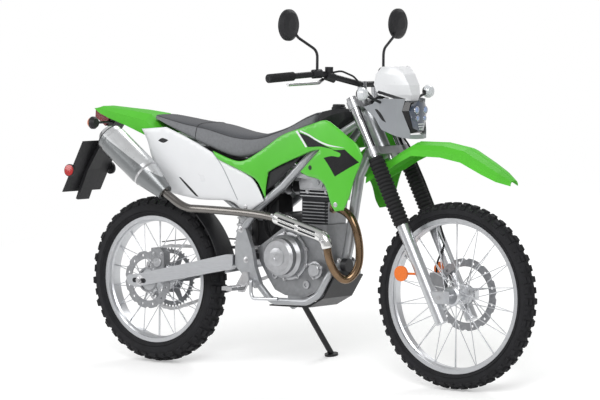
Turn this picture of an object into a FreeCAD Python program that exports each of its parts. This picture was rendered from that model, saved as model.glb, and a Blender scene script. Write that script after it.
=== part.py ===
import FreeCAD
import Part
import Sketcher
import math
import os

Vector = FreeCAD.Vector

# Every size of the motorcycle, in millimetres and degrees.  The bike is drawn upright in its own
# frame: x runs forward from the rear axle, y to the rider's left and z up from the ground.
SIZES = {
    # overall layout
    "wheelbase": "1380",
    "seat_height": "885",
    "half_width": "100",
    "lean_angle": "10",
    "caster_angle": "27.5",
    "fork_lead": "38.5",
    "clamp_offset": "15.5",
    "seat_gap": "0.3",
    "running_gap": "0.05",
    # front wheel
    "front_tyre_radius": "339",
    "front_tyre_width": "78",
    "front_tread_depth": "9",
    "front_rim_radius": "281",
    "front_rim_width": "54",
    "front_hub_width": "74",
    "front_hub_radius": "22",
    "front_flange_radius": "36",
    "front_axle_radius": "7.5",
    "front_disc_radius": "132",
    "front_disc_y": "61",
    # rear wheel
    "rear_tyre_radius": "317",
    "rear_tyre_width": "108",
    "rear_tread_depth": "11",
    "rear_rim_radius": "243",
    "rear_rim_width": "70",
    "rear_hub_width": "88",
    "rear_hub_radius": "30",
    "rear_flange_radius": "46",
    "rear_axle_radius": "8.5",
    "rear_disc_radius": "110",
    "rear_disc_y": "72",
    # both wheels
    "rim_wall": "3",
    "rim_depth": "18",
    "flange_height": "12",
    "flange_thickness": "5",
    "spoke_radius": "1.7",
    "disc_thickness": "4",
    "disc_band": "30",
    "scallop_count": "12",
    "scallop_radius": "13",
    "disc_hole_radius": "5",
    "tread_count": "26",
    "tread_share": "0.5",
    "crown_half": "17",
    # final drive
    "chain_y": "71",
    "chain_width": "15",
    "chain_height": "13",
    "chain_waist": "3",
    "chain_links": "48",
    "rear_sprocket_radius": "121.4",
    "front_sprocket_radius": "38",
    "front_sprocket_x_share": "0.42246",
    "front_sprocket_z_share": "0.47910",
    "sprocket_thickness": "6",
    # frame
    "spar_drop": "45.4",
    "spar_root_y": "26",
    "spar_root_back": "6.9",
    "downtube_rise": "68.9",
    "downtube_root_back": "4.5",
    "spar_radius": "15",
    "cradle_radius": "13",
    "downtube_radius": "19",
    "rail_radius": "11",
    "tube_bend": "60",
    "hanger_in": "18",
    "hanger_thickness": "6",
    "hanger_hole_radius": "11",
    "head_radius": "28",
    "stem_radius": "15",
    "pivot_x_share": "0.36522",
    "pivot_z_share": "0.47910",
    "pivot_plate": "10",
    # swingarm
    "arm_inside": "93",
    "arm_width": "27",
    "yoke_half": "79",
    "axle_half": "134",
    "pivot_tube_radius": "22",
    "pivot_pin_radius": "8",
    # engine
    "case_half": "72",
    "clutch_x_share": "0.49058",
    "clutch_z_share": "0.50508",
    "clutch_radius": "80",
    "clutch_out": "148",
    "dynamo_x_share": "0.50725",
    "dynamo_z_share": "0.48588",
    "dynamo_radius": "68",
    "dynamo_out": "128",
    "barrel_half": "55",
    "head_half": "62",
    "fin_count": "7",
    "fin_pitch": "12",
    "fin_thickness": "3.5",
    "fin_reach": "9",
    "head_fin_count": "3",
    # exhaust
    "pipe_radius": "15",
    "pipe_bend": "38",
    "muffler_radius": "56",
    "tail_radius": "17",
    "tail_depth": "45",
    "neck_run": "60",
    "shield_y": "158",
    "slot_half": "4",
    "slot_step": "9",
    # fork
    "fork_half": "95",
    "stanchion_radius": "18.5",
    "slider_radius": "23",
    "gaiter_radius": "30",
    "bellows_fold": "5",
    "fold_count": "10",
    "slider_low": "-84",
    "slider_high": "304",
    "gaiter_drop": "22",
    "clamp_low": "594",
    "clamp_high": "784",
    "clamp_thickness": "30",
    "stanchion_stub": "28",
    "head_clearance": "5",
    "fork_overlap": "40",
    "axle_lug": "42",
    "front_axle_half": "116",
    "riser_y": "42",
    "riser_foot_ahead": "4",
    "riser_ahead": "35",
    "riser_rise": "76",
    # handlebar
    "bar_radius": "11.1",
    "bar_bend": "60",
    "bar_bore": "7.5",
    "bar_bore_depth": "40",
    "bar_end_y": "412",
    "grip_radius": "16.5",
    "grip_length": "122",
    "mirror_stem_radius": "5",
    "hose_radius": "3.5",
    "reservoir_radius": "15",
    "reservoir_height": "24",
    "perch_radius": "17",
    # side stand
    "stand_x_share": "0.41884",
    "stand_y": "126",
    "stand_z_share": "0.30056",
    "foot_x_share": "0.45290",
    "foot_y": "268",
    "foot_radius": "26",
    "foot_thickness": "8",
    "stand_radius": "11",
    "stand_pin_radius": "7",
    "stand_tab": "9",
    "stand_reach": "45",
    "stand_boss": "14",
    "fold_x_share": "0.23188",
    "fold_y": "164",
    "fold_z_share": "0.32542",
    "stand_eye": "16",
    "foot_drop": "2.84",
    # bodywork
    "skin": "4",
    "plate_width": "226",
    "dial_half": "34",
    "bracket_half": "34",
    "lamp_depth": "34",
    "lamp_radius": "24",
    "mirror_radius": "57",
    "mirror_depth": "22",
    "mirror_shift": "20",
    "mirror_rise": "16",
    "brake_gap": "2.5",
    "caliper_plate": "8",
    "caliper_plate_z": "335",
    "caliper_half": "19",
    "caliper_length": "62",
    "front_caliper_x": "1231",
    "front_caliper_z": "349",
    "pocket_room": "22",
    "caliper_front_in": "17",
    "caliper_front_out": "10.7",
    "rear_caliper_x": "32",
    "rear_caliper_z": "380",
    "skid_half": "88.7",
    "stand_offset": "3.5",
    "peg_x_share": "0.35435",
    "peg_y": "205",
    "peg_z_share": "0.36384",
    "peg_arm_radius": "9",
    "peg_depth": "14",
    "peg_half": "24",
    "peg_gap": "4",
    "peg_teeth": "6",
    "peg_notch": "3.5",
    "peg_hanger": "12",
    "fender_drop": "34.2",
    "bracket_reach": "120",
    "bracket_radius": "9",
    "shock_eye": "10",
    "fender_post_z_share": "0.98712",
    "panel_post_y": "113",
    "tank_post_y": "79.6",
    "tank_cap_radius": "27",
    "tank_cap_height": "22",
    "post_radius": "8",
    "shock_cross_x_share": "0.31884",
    "shock_cross_z_share": "0.86554",
    "pedal_radius": "6.5",
    "shock_radius": "28",
    "box_half": "60.5",
    "intake_radius": "20",
    "guard_half": "12",
    "horn_x_share": "0.65333",
    "horn_y": "34",
    "horn_z_share": "0.47910",
    "horn_depth": "24",
    "horn_radius": "25",
    "reflector_x": "1224",
    "reflector_y": "121",
    "reflector_z": "418",
    "reflector_depth": "8",
    "reflector_strap": "109",
    "reflector_radius": "28",
    "spar_foot_x_share": "0.34058",
    "spar_foot_z_share": "0.58757",
    "filter_x_share": "0.58768",
    "filter_z_share": "0.45537",
    "filter_radius": "28",
    "filter_out": "104",
}

# Shares of one size that another takes.
SHOULDER_SHARE = 0.3
BELLY_SHARE = 0.3
LUG_SHARES = (0.38, 0.4, 0.8)

# Counts and turns, in degrees.
REAR_WRAP_STEPS = 24
FRONT_WRAP_STEPS = 10
DISC_ARMS = 6
ARM_SLANT = 14
SPOKES_PER_FAMILY = 9
SPOKE_TURN = 46
FAMILY_TURN = 10

HOLLOW_ROWS = (2, 5)
FENDER_ARCH = ((0, 0), (0.16, 0.07), (0.3, 0.05), (0.72, 0.18), (0.95, 0.45), (1, 0.8))
FENDER_SKIN = ((0, 1), (0, 1), (0, 1), (0.4, 1), (1, 0.5), (1, 0))
SLOT_SPAN_SHARES = ((0.17, 0.48), (0.6, 0.92))
COVER_PROFILE = ((0, 0), (1, 0), (1, 0.45), (0.86, 0.6), (0.86, 0.88), (0.74, 1), (0, 1))
DOME_PROFILE = ((0, 0), (1, 0), (1, 0.4), (0.8, 0.8), (0.4, 1), (0, 1))
LENS_PROFILE = ((0, 0), (0.7, 0), (1, 0.3), (1, 0.6), (0.75, 0.9), (0.35, 1), (0, 1))
CAN_PROFILE = (
    (0, 0),
    (0.54, 0),
    (0.64, 0.08),
    (0.94, 0.3),
    (1, 0.36),
    (1, 0.86),
    (0.93, 0.88),
    (0.93, 0.93),
    (0.54, 1),
    (0, 1),
)
RIM_WELL_SHARES = (0.28, 0.2, 0.24, 0.16)
SEAT_SECTION = ((1, 0, 0), (1, 0, 0.4), (0, 1, 0.78), (0, 0.5, 1))
TANK_SECTION = ((0.7, 0, 0), (1, 0, 0.25), (0, 1, 0.8), (0, 0.7, 1))
TAIL_SECTION = ((1, 0, 0), (0, 1, 0.7), (0, 0.6, 1))
SHEET_SHARES = (0.5, 1.3)
HOSE_WAY = ((0.85, 1), (0.9, 1), (0.85, 1), (0.3, 1.2))
DIAL_ARM_SHARE = 0.5
RISER_SHARE = 0.6
BRIDGE_SHARE = 1.5
STAND_ROOT_SHARE = 0.045
SPOKE_SPREAD_SHARE = 1.4
LUG_BLOCK_SHARES = (1.5, 0.8)
HUB_EDGE_SHARE = 0.8
SCALLOP_SHARE = 0.6
CALIPER_SHARE = 0.25
BEND_SHARE = 0.45
STRAIGHT = 0.01

# Point tables.  Each point is a share of the wheelbase (x), the half width (y) and the seat
# height (z), measured from the ground under the rear axle.
SPAR_SHARES = (
    (0.663, 0.4, 1.0418),
    (0.5812, 0.95, 0.9469),
    (0.4783, 0.95, 0.7955),
    (0.3986, 0.95, 0.7028),
    (0.3464, 0.95, 0.6068),
    (0.3406, 0.95, 0.5198),
)
DOWNTUBE_SHARES = (
    (0.6833, 0, 0.852),
    (0.6522, 0, 0.5616),
    (0.6406, 0, 0.4859),
)
CRADLE_SHARES = (
    (0.6406, 0, 0.4972),
    (0.6406, 0.92, 0.452),
    (0.6029, 0.95, 0.3525),
    (0.5645, 0.95, 0.3198),
    (0.4449, 0.95, 0.313),
    (0.3913, 0.95, 0.3955),
    (0.3623, 0.95, 0.4576),
)
PIVOT_PLATE_SHARES = (
    (0.3275, 0.5311),
    (0.3275, 0.452),
    (0.3659, 0.4011),
    (0.3949, 0.3616),
    (0.413, 0.3842),
    (0.3949, 0.452),
    (0.3841, 0.5311),
    (0.3623, 0.6102),
    (0.3348, 0.6102),
)
STAND_BRACKET_SHARES = (
    (0.4014, 0.2712),
    (0.4145, 0.2599),
    (0.4319, 0.2757),
    (0.4435, 0.3209),
    (0.4275, 0.339),
    (0.4, 0.3729),
    (0.3971, 0.339),
)
SUBFRAME_TOP_SHARES = (
    (0.471, 0.72, 0.8384),
    (0.4058, 0.72, 0.8836),
    (0.3043, 0.72, 0.8655),
    (0.1087, 0.72, 0.9492),
    (0.0145, 0.66, 0.9672),
)
SUBFRAME_LOW_SHARES = (
    (0.3623, 0.82, 0.6497),
    (0.2391, 0.8, 0.7684),
    (0.087, 0.75, 0.9514),
)
CASE_SHARES = (
    (0.4435, 0.3593),
    (0.4783, 0.339),
    (0.5507, 0.339),
    (0.6014, 0.3751),
    (0.6246, 0.452),
    (0.6217, 0.5311),
    (0.6145, 0.6441),
    (0.5159, 0.6441),
    (0.4638, 0.6158),
    (0.4167, 0.565),
    (0.3841, 0.5311),
    (0.3913, 0.4746),
    (0.4203, 0.4068),
)
BARREL_SHARES = (
    (0.5232, 0.6444),
    (0.6101, 0.6444),
    (0.6159, 0.7401),
    (0.5232, 0.7514),
)
ENGINE_HEAD_SHARES = (
    (0.5188, 0.7525),
    (0.6203, 0.7412),
    (0.6246, 0.7966),
    (0.6072, 0.8452),
    (0.529, 0.8588),
    (0.5159, 0.8136),
)
HEADER_SHARES = (
    (0.6203, -0.44, 0.7232),
    (0.6739, -0.44, 0.696),
    (0.6986, -0.42, 0.6328),
    (0.7043, -0.3, 0.5424),
    (0.7, -0.34, 0.4633),
    (0.6797, -0.66, 0.4136),
    (0.6623, -1, 0.4429),
    (0.6522, -1.28, 0.5085),
    (0.6471, -1.34, 0.5876),
    (0.5609, -1.36, 0.6328),
    (0.4783, -1.38, 0.6712),
    (0.3623, -1.36, 0.6825),
    (0.2174, -1.36, 0.6847),
    (0.1725, -1.46, 0.6847),
)
SHIELD_STAY_SHARES = (
    (0.6159, -1.504, 0.604),
    (0.5609, -1.516, 0.6339),
)
HEAT_SHIELD_SHARES = (
    (0.6536, 0.565),
    (0.6609, 0.5989),
    (0.6377, 0.6237),
    (0.5, 0.6915),
    (0.4746, 0.6915),
    (0.471, 0.6554),
    (0.5652, 0.5989),
)
SEAT_TOP_SHARES = (
    (0.0145, 0.6, 1.0734),
    (0.0652, 0.8, 1.0644),
    (0.1377, 0.92, 1.0508),
    (0.2174, 0.95, 1.0395),
    (0.3116, 0.9, 1.0124),
    (0.3841, 0.78, 1.009),
    (0.4638, 0.62, 1.0418),
    (0.5217, 0.52, 1.087),
    (0.5616, 0.46, 1.1119),
)
SEAT_LOW_SHARES = (
    (0.0145, 0.64, 1.0576),
    (0.0652, 0.9, 1.0339),
    (0.1377, 1, 0.9944),
    (0.2174, 1.05, 0.9514),
    (0.3116, 1, 0.9062),
    (0.3841, 0.88, 0.922),
    (0.4638, 0.75, 0.9921),
    (0.5217, 0.66, 1.0339),
    (0.5616, 0.58, 1.0562),
)
TANK_LOW_SHARES = (
    (0.4638, 0.76, 0.904),
    (0.5616, 0.76, 0.8881),
    (0.5797, 0.58, 0.9209),
    (0.6159, 0.42, 0.9989),
    (0.6377, 0.42, 1.0418),
    (0.6507, 0.36, 1.0689),
    (0.6652, 0.12, 1.087),
)
TANK_TOP_SHARES = (
    (0.4638, 0.7, 0.9853),
    (0.5616, 0.72, 1.0554),
    (0.5797, 0.62, 1.1119),
    (0.6159, 0.58, 1.1243),
    (0.6377, 0.48, 1.1266),
    (0.6507, 0.36, 1.1266),
    (0.6652, 0.12, 1.1209),
)
SIDE_PANEL_SHARES = (
    (-0.0065, 1.0113),
    (0.0167, 0.9582),
    (0.0399, 0.8723),
    (0.1, 0.7446),
    (0.2029, 0.7232),
    (0.308, 0.7232),
    (0.3522, 0.6915),
    (0.3819, 0.6881),
    (0.4297, 0.7345),
    (0.387, 0.8249),
    (0.3029, 0.8836),
    (0.25, 0.9266),
    (0.0841, 1.026),
)
SHROUD_SHARES = (
    (0.2558, 0.9322),
    (0.3457, 0.8949),
    (0.4109, 0.9345),
    (0.4877, 1.0079),
    (0.5471, 1.0407),
    (0.6022, 1.0667),
    (0.6355, 1.0814),
    (0.6565, 1.0802),
    (0.7152, 1.026),
    (0.7486, 0.991),
    (0.7681, 0.9356),
    (0.7413, 0.8452),
    (0.7261, 0.7593),
    (0.7058, 0.713),
    (0.6768, 0.7062),
    (0.663, 0.7412),
    (0.6507, 0.8034),
    (0.629, 0.8395),
    (0.608, 0.852),
    (0.5594, 0.8734),
    (0.5072, 0.8927),
    (0.4457, 0.8565),
    (0.4377, 0.791),
    (0.4341, 0.7435),
    (0.4072, 0.8158),
    (0.3594, 0.8508),
    (0.2754, 0.8983),
)
PANEL_PLAN_SHARES = (
    (-0.029, 1, 0),
    (0.0725, 1.08, 0),
    (0.2536, 1.12, 0),
    (0.4493, 1.14, 0),
    (0.4493, 1.18, 0),
    (0.2536, 1.16, 0),
    (0.0725, 1.12, 0),
    (-0.029, 1.04, 0),
)
PANEL_POST_SHARES = (
    (0.2174, 0.834, 0.9028),
)
SHROUD_POST_SHARES = (
    (0.5812, 0.95, 0.9469),
    (0.5812, 1.36, 0.9469),
    (0.6522, 0.5, 1.0339),
    (0.6522, 1.47, 1.0339),
)
TANK_CAP_SHARES = (
    (0.613, 0, 1.1186),
)
TANK_POST_SHARES = (
    (0.5507, 0, 0.9021),
)
PIPE_STAY_SHARES = (
    (0.3957, -1.104, 0.6938),
    (0.3957, -1.33, 0.6927),
)
SHROUD_PLAN_SHARES = (
    (0.2464, 1.19, 0),
    (0.4348, 1.21, 0),
    (0.5507, 1.28, 0),
    (0.6377, 1.46, 0),
    (0.7246, 1.46, 0),
    (0.7826, 1.36, 0),
    (0.7826, 1.41, 0),
    (0.7246, 1.51, 0),
    (0.6377, 1.51, 0),
    (0.5507, 1.33, 0),
    (0.4348, 1.26, 0),
    (0.2464, 1.24, 0),
)
TAIL_EXTENSION_SHARES = (
    (-0.1551, 1.0532),
    (-0.2174, 0.904),
    (-0.2551, 0.8158),
    (-0.2884, 0.6859),
    (-0.2812, 0.6814),
    (-0.2435, 0.8158),
    (-0.2065, 0.904),
    (-0.1377, 1.0463),
)
FRONT_FENDER_TOP_SHARES = (
    (-0.6157, 0.54, -0.7411),
    (-0.1157, 0.57, -0.4511),
    (0.3843, 0.58, -0.1911),
    (0.8843, 0.6, 0.1189),
    (1.4543, 0.64, 0.4189),
    (2.7343, 0.66, 0.4289),
    (3.6343, 0.66, 0.2789),
    (4.4843, 0.6, -0.1611),
    (5.0443, 0.5, -0.4811),
    (5.5043, 0.26, -0.8111),
)
LOWER_COWL_SHARES = (
    (0.4516, -0.0564),
    (0.8616, 0.0636),
    (1.0416, 0.2436),
    (1.7416, 0.2736),
    (2.3216, 0.2336),
    (2.3216, -1.1964),
    (1.9816, -1.1364),
    (1.5816, -0.9964),
    (1.2516, -0.8564),
    (0.9816, -0.4464),
)
INSTRUMENT_SHARES = (
    (0.6616, 0.4336),
    (0.7616, 0.9336),
    (1.5616, 1.1336),
    (1.6616, 0.5336),
)
FRONT_LAMP_SHARES = (
    (1.1916, 0.97, 0.1286),
    (1.1916, 2.07, 0.4536),
)
REAR_LAMP_SHARES = (
    (-0.1543, 1.5, 1.0305),
)
TAIL_LAMP_SHARES = (
    (-0.163, 1.0567),
    (-0.1899, 1.0686),
    (-0.2159, 1.0845),
    (-0.2174, 1.0508),
    (-0.1812, 1.0113),
)
PLATE_SHARES = (
    (-0.213, 0.9446),
    (-0.2151, 0.9458),
    (-0.2898, 0.7198),
    (-0.2876, 0.7186),
)
MUFFLER_SHARES = (
    (0.113, -1.62, 0.748),
    (-0.0913, -1.79, 0.9944),
)
YOKE_SHARES = (
    (-1.54, -0.46),
    (-0.64, -0.28),
    (-0.64, 0.12),
    (-1.54, -0.12),
)
PIVOT_LUG_SHARES = (
    (-0.68, -0.26),
    (0, -0.22),
    (0.22, 0),
    (0, 0.22),
    (-0.68, 0.1),
)
PEG_HANGER_SHARES = (
    (0.3391, 0.3729),
    (0.3464, 0.3435),
    (0.3623, 0.3435),
    (0.3826, 0.3955),
    (0.3768, 0.4294),
    (0.3623, 0.4294),
)
BRAKE_PEDAL_SHARES = (
    (0.3942, -1.103, 0.3977),
    (0.3942, -1.3, 0.3977),
    (0.3971, -1.34, 0.339),
    (0.4058, -1.36, 0.322),
    (0.4928, -1.42, 0.3299),
)
SHIFT_PEDAL_SHARES = (
    (0.4551, 0.723, 0.3819),
    (0.4551, 1.34, 0.3819),
    (0.5217, 1.42, 0.3593),
    (0.5275, 1.75, 0.3593),
)
SHOCK_SHARES = (
    (0.2913, 0, 0.4853),
    (0.2928, 0, 0.5198),
    (0.3159, 0, 0.791),
    (0.3188, 0, 0.8522),
)
AIR_BOX_SHARES = (
    (0.1232, 0.9379),
    (0.1449, 0.7797),
    (0.2536, 0.7458),
    (0.2812, 0.7797),
    (0.2812, 0.8362),
    (0.2754, 0.8927),
    (0.1812, 0.9379),
)
INTAKE_SHARES = (
    (0.5163, 0, 0.7966),
    (0.4348, 0, 0.7864),
    (0.3623, 0.5, 0.8),
    (0.2826, 0.5, 0.8068),
)
SKID_SHARES = (
    (0.4348, 0.2915),
    (0.5652, 0.296),
    (0.6159, 0.339),
    (0.6522, 0.4294),
    (0.6493, 0.4339),
    (0.613, 0.3435),
    (0.5645, 0.3023),
    (0.4348, 0.2972),
)
CHAIN_GUARD_SHARES = (
    (-0.029, 0.5085),
    (0.1087, 0.5401),
    (0.2899, 0.5424),
    (0.2899, 0.5469),
    (0.1087, 0.5446),
    (-0.029, 0.513),
)
GUARD_STAY_SHARES = (
    (0.279, 0.4897),
    (0.2899, 0.4937),
    (0.2899, 0.5469),
    (0.279, 0.5446),
)
HAND_LEVER_SHARES = (
    (-0.7479, 1.8, 0.0779),
    (-0.5479, 2.3, -0.0221),
    (-0.7479, 3.9, -0.0621),
)
PERCH_SHARES = (
    (-0.4379, 1.5, 0.1179),
    (-0.5979, 1.8, 0.2279),
)
MIRROR_FOOT_SHARES = (
    (-0.7479, 1.9, 0.2979),
    (-0.8979, 2.22, 0.2779),
)
BAR_SHARES = (
    (0.0521, 0, -0.1021),
    (0.0521, 0.52, -0.1021),
    (-0.7479, 1.9, 0.2979),
    (-1.2479, 2.9, 0.2079),
    (-1.4679, 4.12, 0.1379),
)
MIRROR_STEM_SHARES = (
    (-0.8179, 2.05, 0.3779),
    (-0.8179, 2.05, 1.1179),
    (-0.9979, 3, 1.6179),
    (-1.0579, 3.18, 1.8979),
)
NUMBER_NOSE_SHARES = (
    (2.0616, 0.16, 0.1936),
    (2.0816, 0.26, 0.3936),
    (2.0016, 0.32, 0.7536),
    (1.7816, 0.36, 1.1336),
    (1.5216, 0.38, 1.4136),
)
NUMBER_WING_SHARES = (
    (1.7616, 0.5, 0.1936),
    (1.0016, 0.86, 0.3936),
    (0.8616, 0.92, 0.7536),
    (0.9216, 0.9, 1.1336),
    (1.1216, 0.78, 1.4136),
)
LOWER_COWL_PLAN_SHARES = (
    (0.3116, 0.97),
    (1.1616, 0.99),
    (1.8116, 0.84),
    (2.1916, 0.52),
    (2.2816, 0.2),
)
LAMP_TOP_SHARES = (
    (1.3616, 0.56, 0.0536),
    (1.8616, 0.64, 0.1336),
    (2.1616, 0.44, 0.1336),
    (2.2916, 0.2, 0.1136),
)
LAMP_WIDE_SHARES = (
    (1.3616, 0.68, -0.1664),
    (1.8616, 0.77, -0.1664),
    (2.1616, 0.55, -0.1664),
    (2.2916, 0.26, -0.1664),
)
LAMP_LOW_SHARES = (
    (1.3616, 0.44, -0.8464),
    (1.8616, 0.54, -1.0064),
    (2.1616, 0.4, -0.9864),
    (2.2916, 0.18, -0.9264),
)
DIAL_POST_SHARES = (
    (1.1616, 0, 0.5836),
    (2.0066, 0, 0.5836),
)
LAMP_POST_SHARES = (
    (1.5116, 0, 0.5836),
    (1.5116, 0, 0.0736),
)
TAIL_TOP_SHARES = (
    (0.0609, 0.9, 0.9994),
    (0.0145, 0.96, 1.052),
    (0, 0.97, 1.0734),
    (-0.0725, 0.92, 1.0853),
    (-0.1304, 0.76, 1.0911),
    (-0.1486, 0.7, 1.0932),
    (-0.1899, 0.52, 1.0983),
    (-0.2174, 0.36, 1.0881),
)
TAIL_LOW_SHARES = (
    (0.0609, 0.9, 0.9977),
    (0.0145, 0.97, 0.9882),
    (0, 0.98, 0.9853),
    (-0.0725, 0.93, 1.0226),
    (-0.1304, 0.78, 1.0441),
    (-0.1486, 0.72, 1.0508),
    (-0.1899, 0.56, 1.0689),
    (-0.2174, 0.4, 1.0859),
)
HOSE_LOW_SHARES = (
    (-1.3, 0.6, 0.723),
    (-1.28, 0.62, 1.11),
    (-0.98, 0.66, 1.81),
)
HOSE_TOP_SHARES = (
    (0.5216, -0.62, 0.3336),
    (0.0116, -1, 1.0336),
    (-0.2884, -1.35, 1.2336),
    (-0.4984, -1.58, 1.1736),
)
RESERVOIR_SHARES = (
    (-0.5779, -1.65, 0.2979),
)
SLOT_LINE_SHARES = (
    (0.6304, 0.5876),
    (0.5, 0.661),
)
ARM_FRONT_SHARES = (
    (-0.64, -0.38),
    (-0.56, -0.24),
    (-0.56, 0.16),
    (-0.88, 0.16),
)
ARM_REAR_SHARES = (
    (-0.1, 0.25),
    (-0.56, 0.19),
    (-0.68, 0.08),
    (-0.6, -0.17),
    (-0.2, -0.25),
)
MOUTH_TOP_SHARES = (
    (1.6616, 0.62, 0.3136),
    (2.4616, 0.62, 0.3136),
)
MOUTH_WIDE_SHARES = (
    (1.6616, 0.71, -0.1664),
    (2.4616, 0.71, -0.1664),
)
MOUTH_LOW_SHARES = (
    (1.6616, 0.48, -1.0264),
    (2.4616, 0.48, -1.0264),
)
HANGER_SHARES = (
    (0.5072, 0.8384),
    (0.5761, 0.9469),
    (0.5884, 0.9469),
    (0.6203, 0.8701),
    (0.6058, 0.8),
    (0.5841, 0.8),
    (0.5652, 0.8316),
)
HANGER_HOLE_SHARES = (
    (0.5435, 0.8633),
    (0.5739, 0.8881),
)
HANGER_BOLT_SHARES = (
    (0.5913, 0.8192),
)


class Term:
    """A length with the sheet expression that keeps it bound to its cells."""

    def __init__(self, value, text):
        self.value = value
        self.text = text

    def joined(self, other, sign, value):
        return Term(value, "(" + self.text + " " + sign + " " + other.text + ")")

    def __add__(self, other):
        other = term(other)
        return self.joined(other, "+", self.value + other.value)

    def __radd__(self, other):
        return term(other) + self

    def __sub__(self, other):
        other = term(other)
        return self.joined(other, "-", self.value - other.value)

    def __rsub__(self, other):
        return term(other) - self

    def __mul__(self, other):
        other = term(other)
        return self.joined(other, "*", self.value * other.value)

    def __rmul__(self, other):
        return term(other) * self

    def __truediv__(self, other):
        other = term(other)
        return self.joined(other, "/", self.value / other.value)

    def __neg__(self):
        return term(0) - self


def term(thing):
    """The thing itself where it is a term already, otherwise a plain number as a term."""
    if isinstance(thing, Term):
        return thing
    return Term(float(thing), "%.6f" % float(thing))


class SizeSheet:
    """The spreadsheet of the document, read by name: size.wheelbase is a bound term."""

    def __init__(self, document, table):
        self.sheet = document.addObject("Spreadsheet::Sheet", "Sizes")
        self.table = table
        for row, name in enumerate(table, start=1):
            self.sheet.set("A" + str(row), table[name])
            self.sheet.setAlias("A" + str(row), name)

    def cell(self, name):
        if name not in self.table:
            raise AttributeError(name)
        return Term(float(self.table[name]), "Sizes." + name)

    def __getattr__(self, name):
        """A size, or a place along or up the bike that the table holds as a share."""
        if name + "_share" in self.table:
            whole = self.cell("wheelbase") if name.endswith("_x") else self.cell("seat_height")
            return whole * self.cell(name + "_share")
        return self.cell(name)


doc = FreeCAD.newDocument("motorcycle")
size = SizeSheet(doc, SIZES)
doc.recompute()
nodes = []


def vec(point):
    return Vector(*[term(part).value for part in point])


def span(start, end):
    """The distance between two points, as a term."""
    squares = []
    for a, b in zip(start, end):
        squares.append("(" + term(a).text + " - " + term(b).text + ") ^ 2")
    return Term((vec(end) - vec(start)).Length, "sqrt(" + " + ".join(squares) + ")")


def bind(thing, name, value):
    """Sets a property to a term and ties it to the sheet."""
    value = term(value)
    setattr(thing, name, value.value)
    thing.setExpression(name, value.text)


def place(thing, point, rotation=None):
    """Puts a thing at a point, each coordinate tied to the sheet."""
    thing.Placement = FreeCAD.Placement(vec(point), rotation or FreeCAD.Rotation())
    for axis, part in zip("xyz", point):
        thing.setExpression("Placement.Base." + axis, term(part).text)


def scaled(shares):
    """Three-figure shares as a point of the bike's frame."""
    return (size.wheelbase * shares[0], size.half_width * shares[1], size.seat_height * shares[2])


def scaled_all(table):
    return [scaled(shares) for shares in table]


def side_points(table):
    """Two-figure shares as points of the side view."""
    return [(size.wheelbase * x, size.seat_height * z) for x, z in table]


def plan_points(table):
    return [(size.wheelbase * x, size.half_width * y) for x, y, z in table]


def carried(carrier, shares):
    """A point given by shares of the half width from the point of the piece that carries it."""
    return tuple(term(at) + size.half_width * share for at, share in zip(carrier, shares))


def carried_all(carrier, table):
    return [carried(carrier, shares) for shares in table]


def part_way(start, end, distance):
    """The point at a distance from the start on the line to the end."""
    share = term(distance) / span(start, end)
    return tuple(term(a) + (term(b) - a) * share for a, b in zip(start, end))


def towards(start, end):
    """The turn that takes the z axis along the line between two points."""
    return FreeCAD.Rotation(Vector(0, 0, 1), vec(end) - vec(start))


def rod(name, start, end, radius):
    """A round bar between two points."""
    bar = doc.addObject("Part::Cylinder", name)
    bind(bar, "Radius", radius)
    bind(bar, "Height", span(start, end))
    place(bar, start, towards(start, end))
    return bar


def block(name, corner, lengths, rotation=None):
    """A box from its lowest corner."""
    brick = doc.addObject("Part::Box", name)
    for side, length in zip(("Length", "Width", "Height"), lengths):
        bind(brick, side, length)
    place(brick, corner, rotation)
    return brick


def rounded_line(points, bend):
    """A line through the points with its corners rounded by the bend, as edges."""
    corners = [vec(point) for point in points]
    edges = []
    here = corners[0]
    for before, corner, after in zip(corners, corners[1:], corners[2:]):
        back = before - corner
        ahead = after - corner
        turn = math.pi - back.getAngle(ahead)
        reach = min(bend * math.tan(turn / 2), back.Length * BEND_SHARE, ahead.Length * BEND_SHARE)
        if turn < STRAIGHT:
            continue
        start = corner + back.normalize() * reach
        end = corner + ahead.normalize() * reach
        radius = reach / math.tan(turn / 2)
        middle = corner + (start + end - corner * 2).normalize() * (radius / math.cos(turn / 2) - radius)
        if (start - here).Length > STRAIGHT:
            edges.append(Part.makeLine(here, start))
        edges.append(Part.Arc(start, middle, end).toShape())
        here = end
    edges.append(Part.makeLine(here, corners[-1]))
    return edges


def tube(name, points, radius, bend):
    """A round tube swept along a bent line."""
    edges = rounded_line(points, term(bend).value)
    path = doc.addObject("Part::Feature", name + "_path")
    path.Shape = Part.Wire(edges)
    ring = doc.addObject("Part::Circle", name + "_ring")
    bind(ring, "Radius", radius)
    start = edges[0].valueAt(edges[0].FirstParameter)
    direction = edges[0].tangentAt(edges[0].FirstParameter)
    ring.Placement = FreeCAD.Placement(start, FreeCAD.Rotation(Vector(0, 0, 1), direction))
    sweep = doc.addObject("Part::Sweep", name)
    sweep.Sections = [ring]
    sweep.Spine = (path, ["Edge" + str(i + 1) for i in range(len(edges))])
    sweep.Solid = True
    return sweep


def fuse(name, parts):
    joint = doc.addObject("Part::MultiFuse", name)
    joint.Shapes = parts
    return joint


def cut(name, base, tool):
    rest = doc.addObject("Part::Cut", name)
    rest.Base = base
    rest.Tool = tool
    return rest


def common(name, first, second):
    both = doc.addObject("Part::Common", name)
    both.Base = first
    both.Tool = second
    return both


def together(name, parts):
    group = doc.addObject("Part::Compound", name)
    group.Links = parts
    return group


def mirrored(source, name=None):
    """The other side's copy, across the middle plane of the bike."""
    copy = doc.addObject("Part::Mirroring", name or source.Name + "_left")
    copy.Source = source
    copy.Normal = Vector(0, 1, 0)
    return copy


def both_sides(source):
    return [source, mirrored(source)]


def new_body(name):
    return doc.addObject("PartDesign::Body", name)


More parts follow.
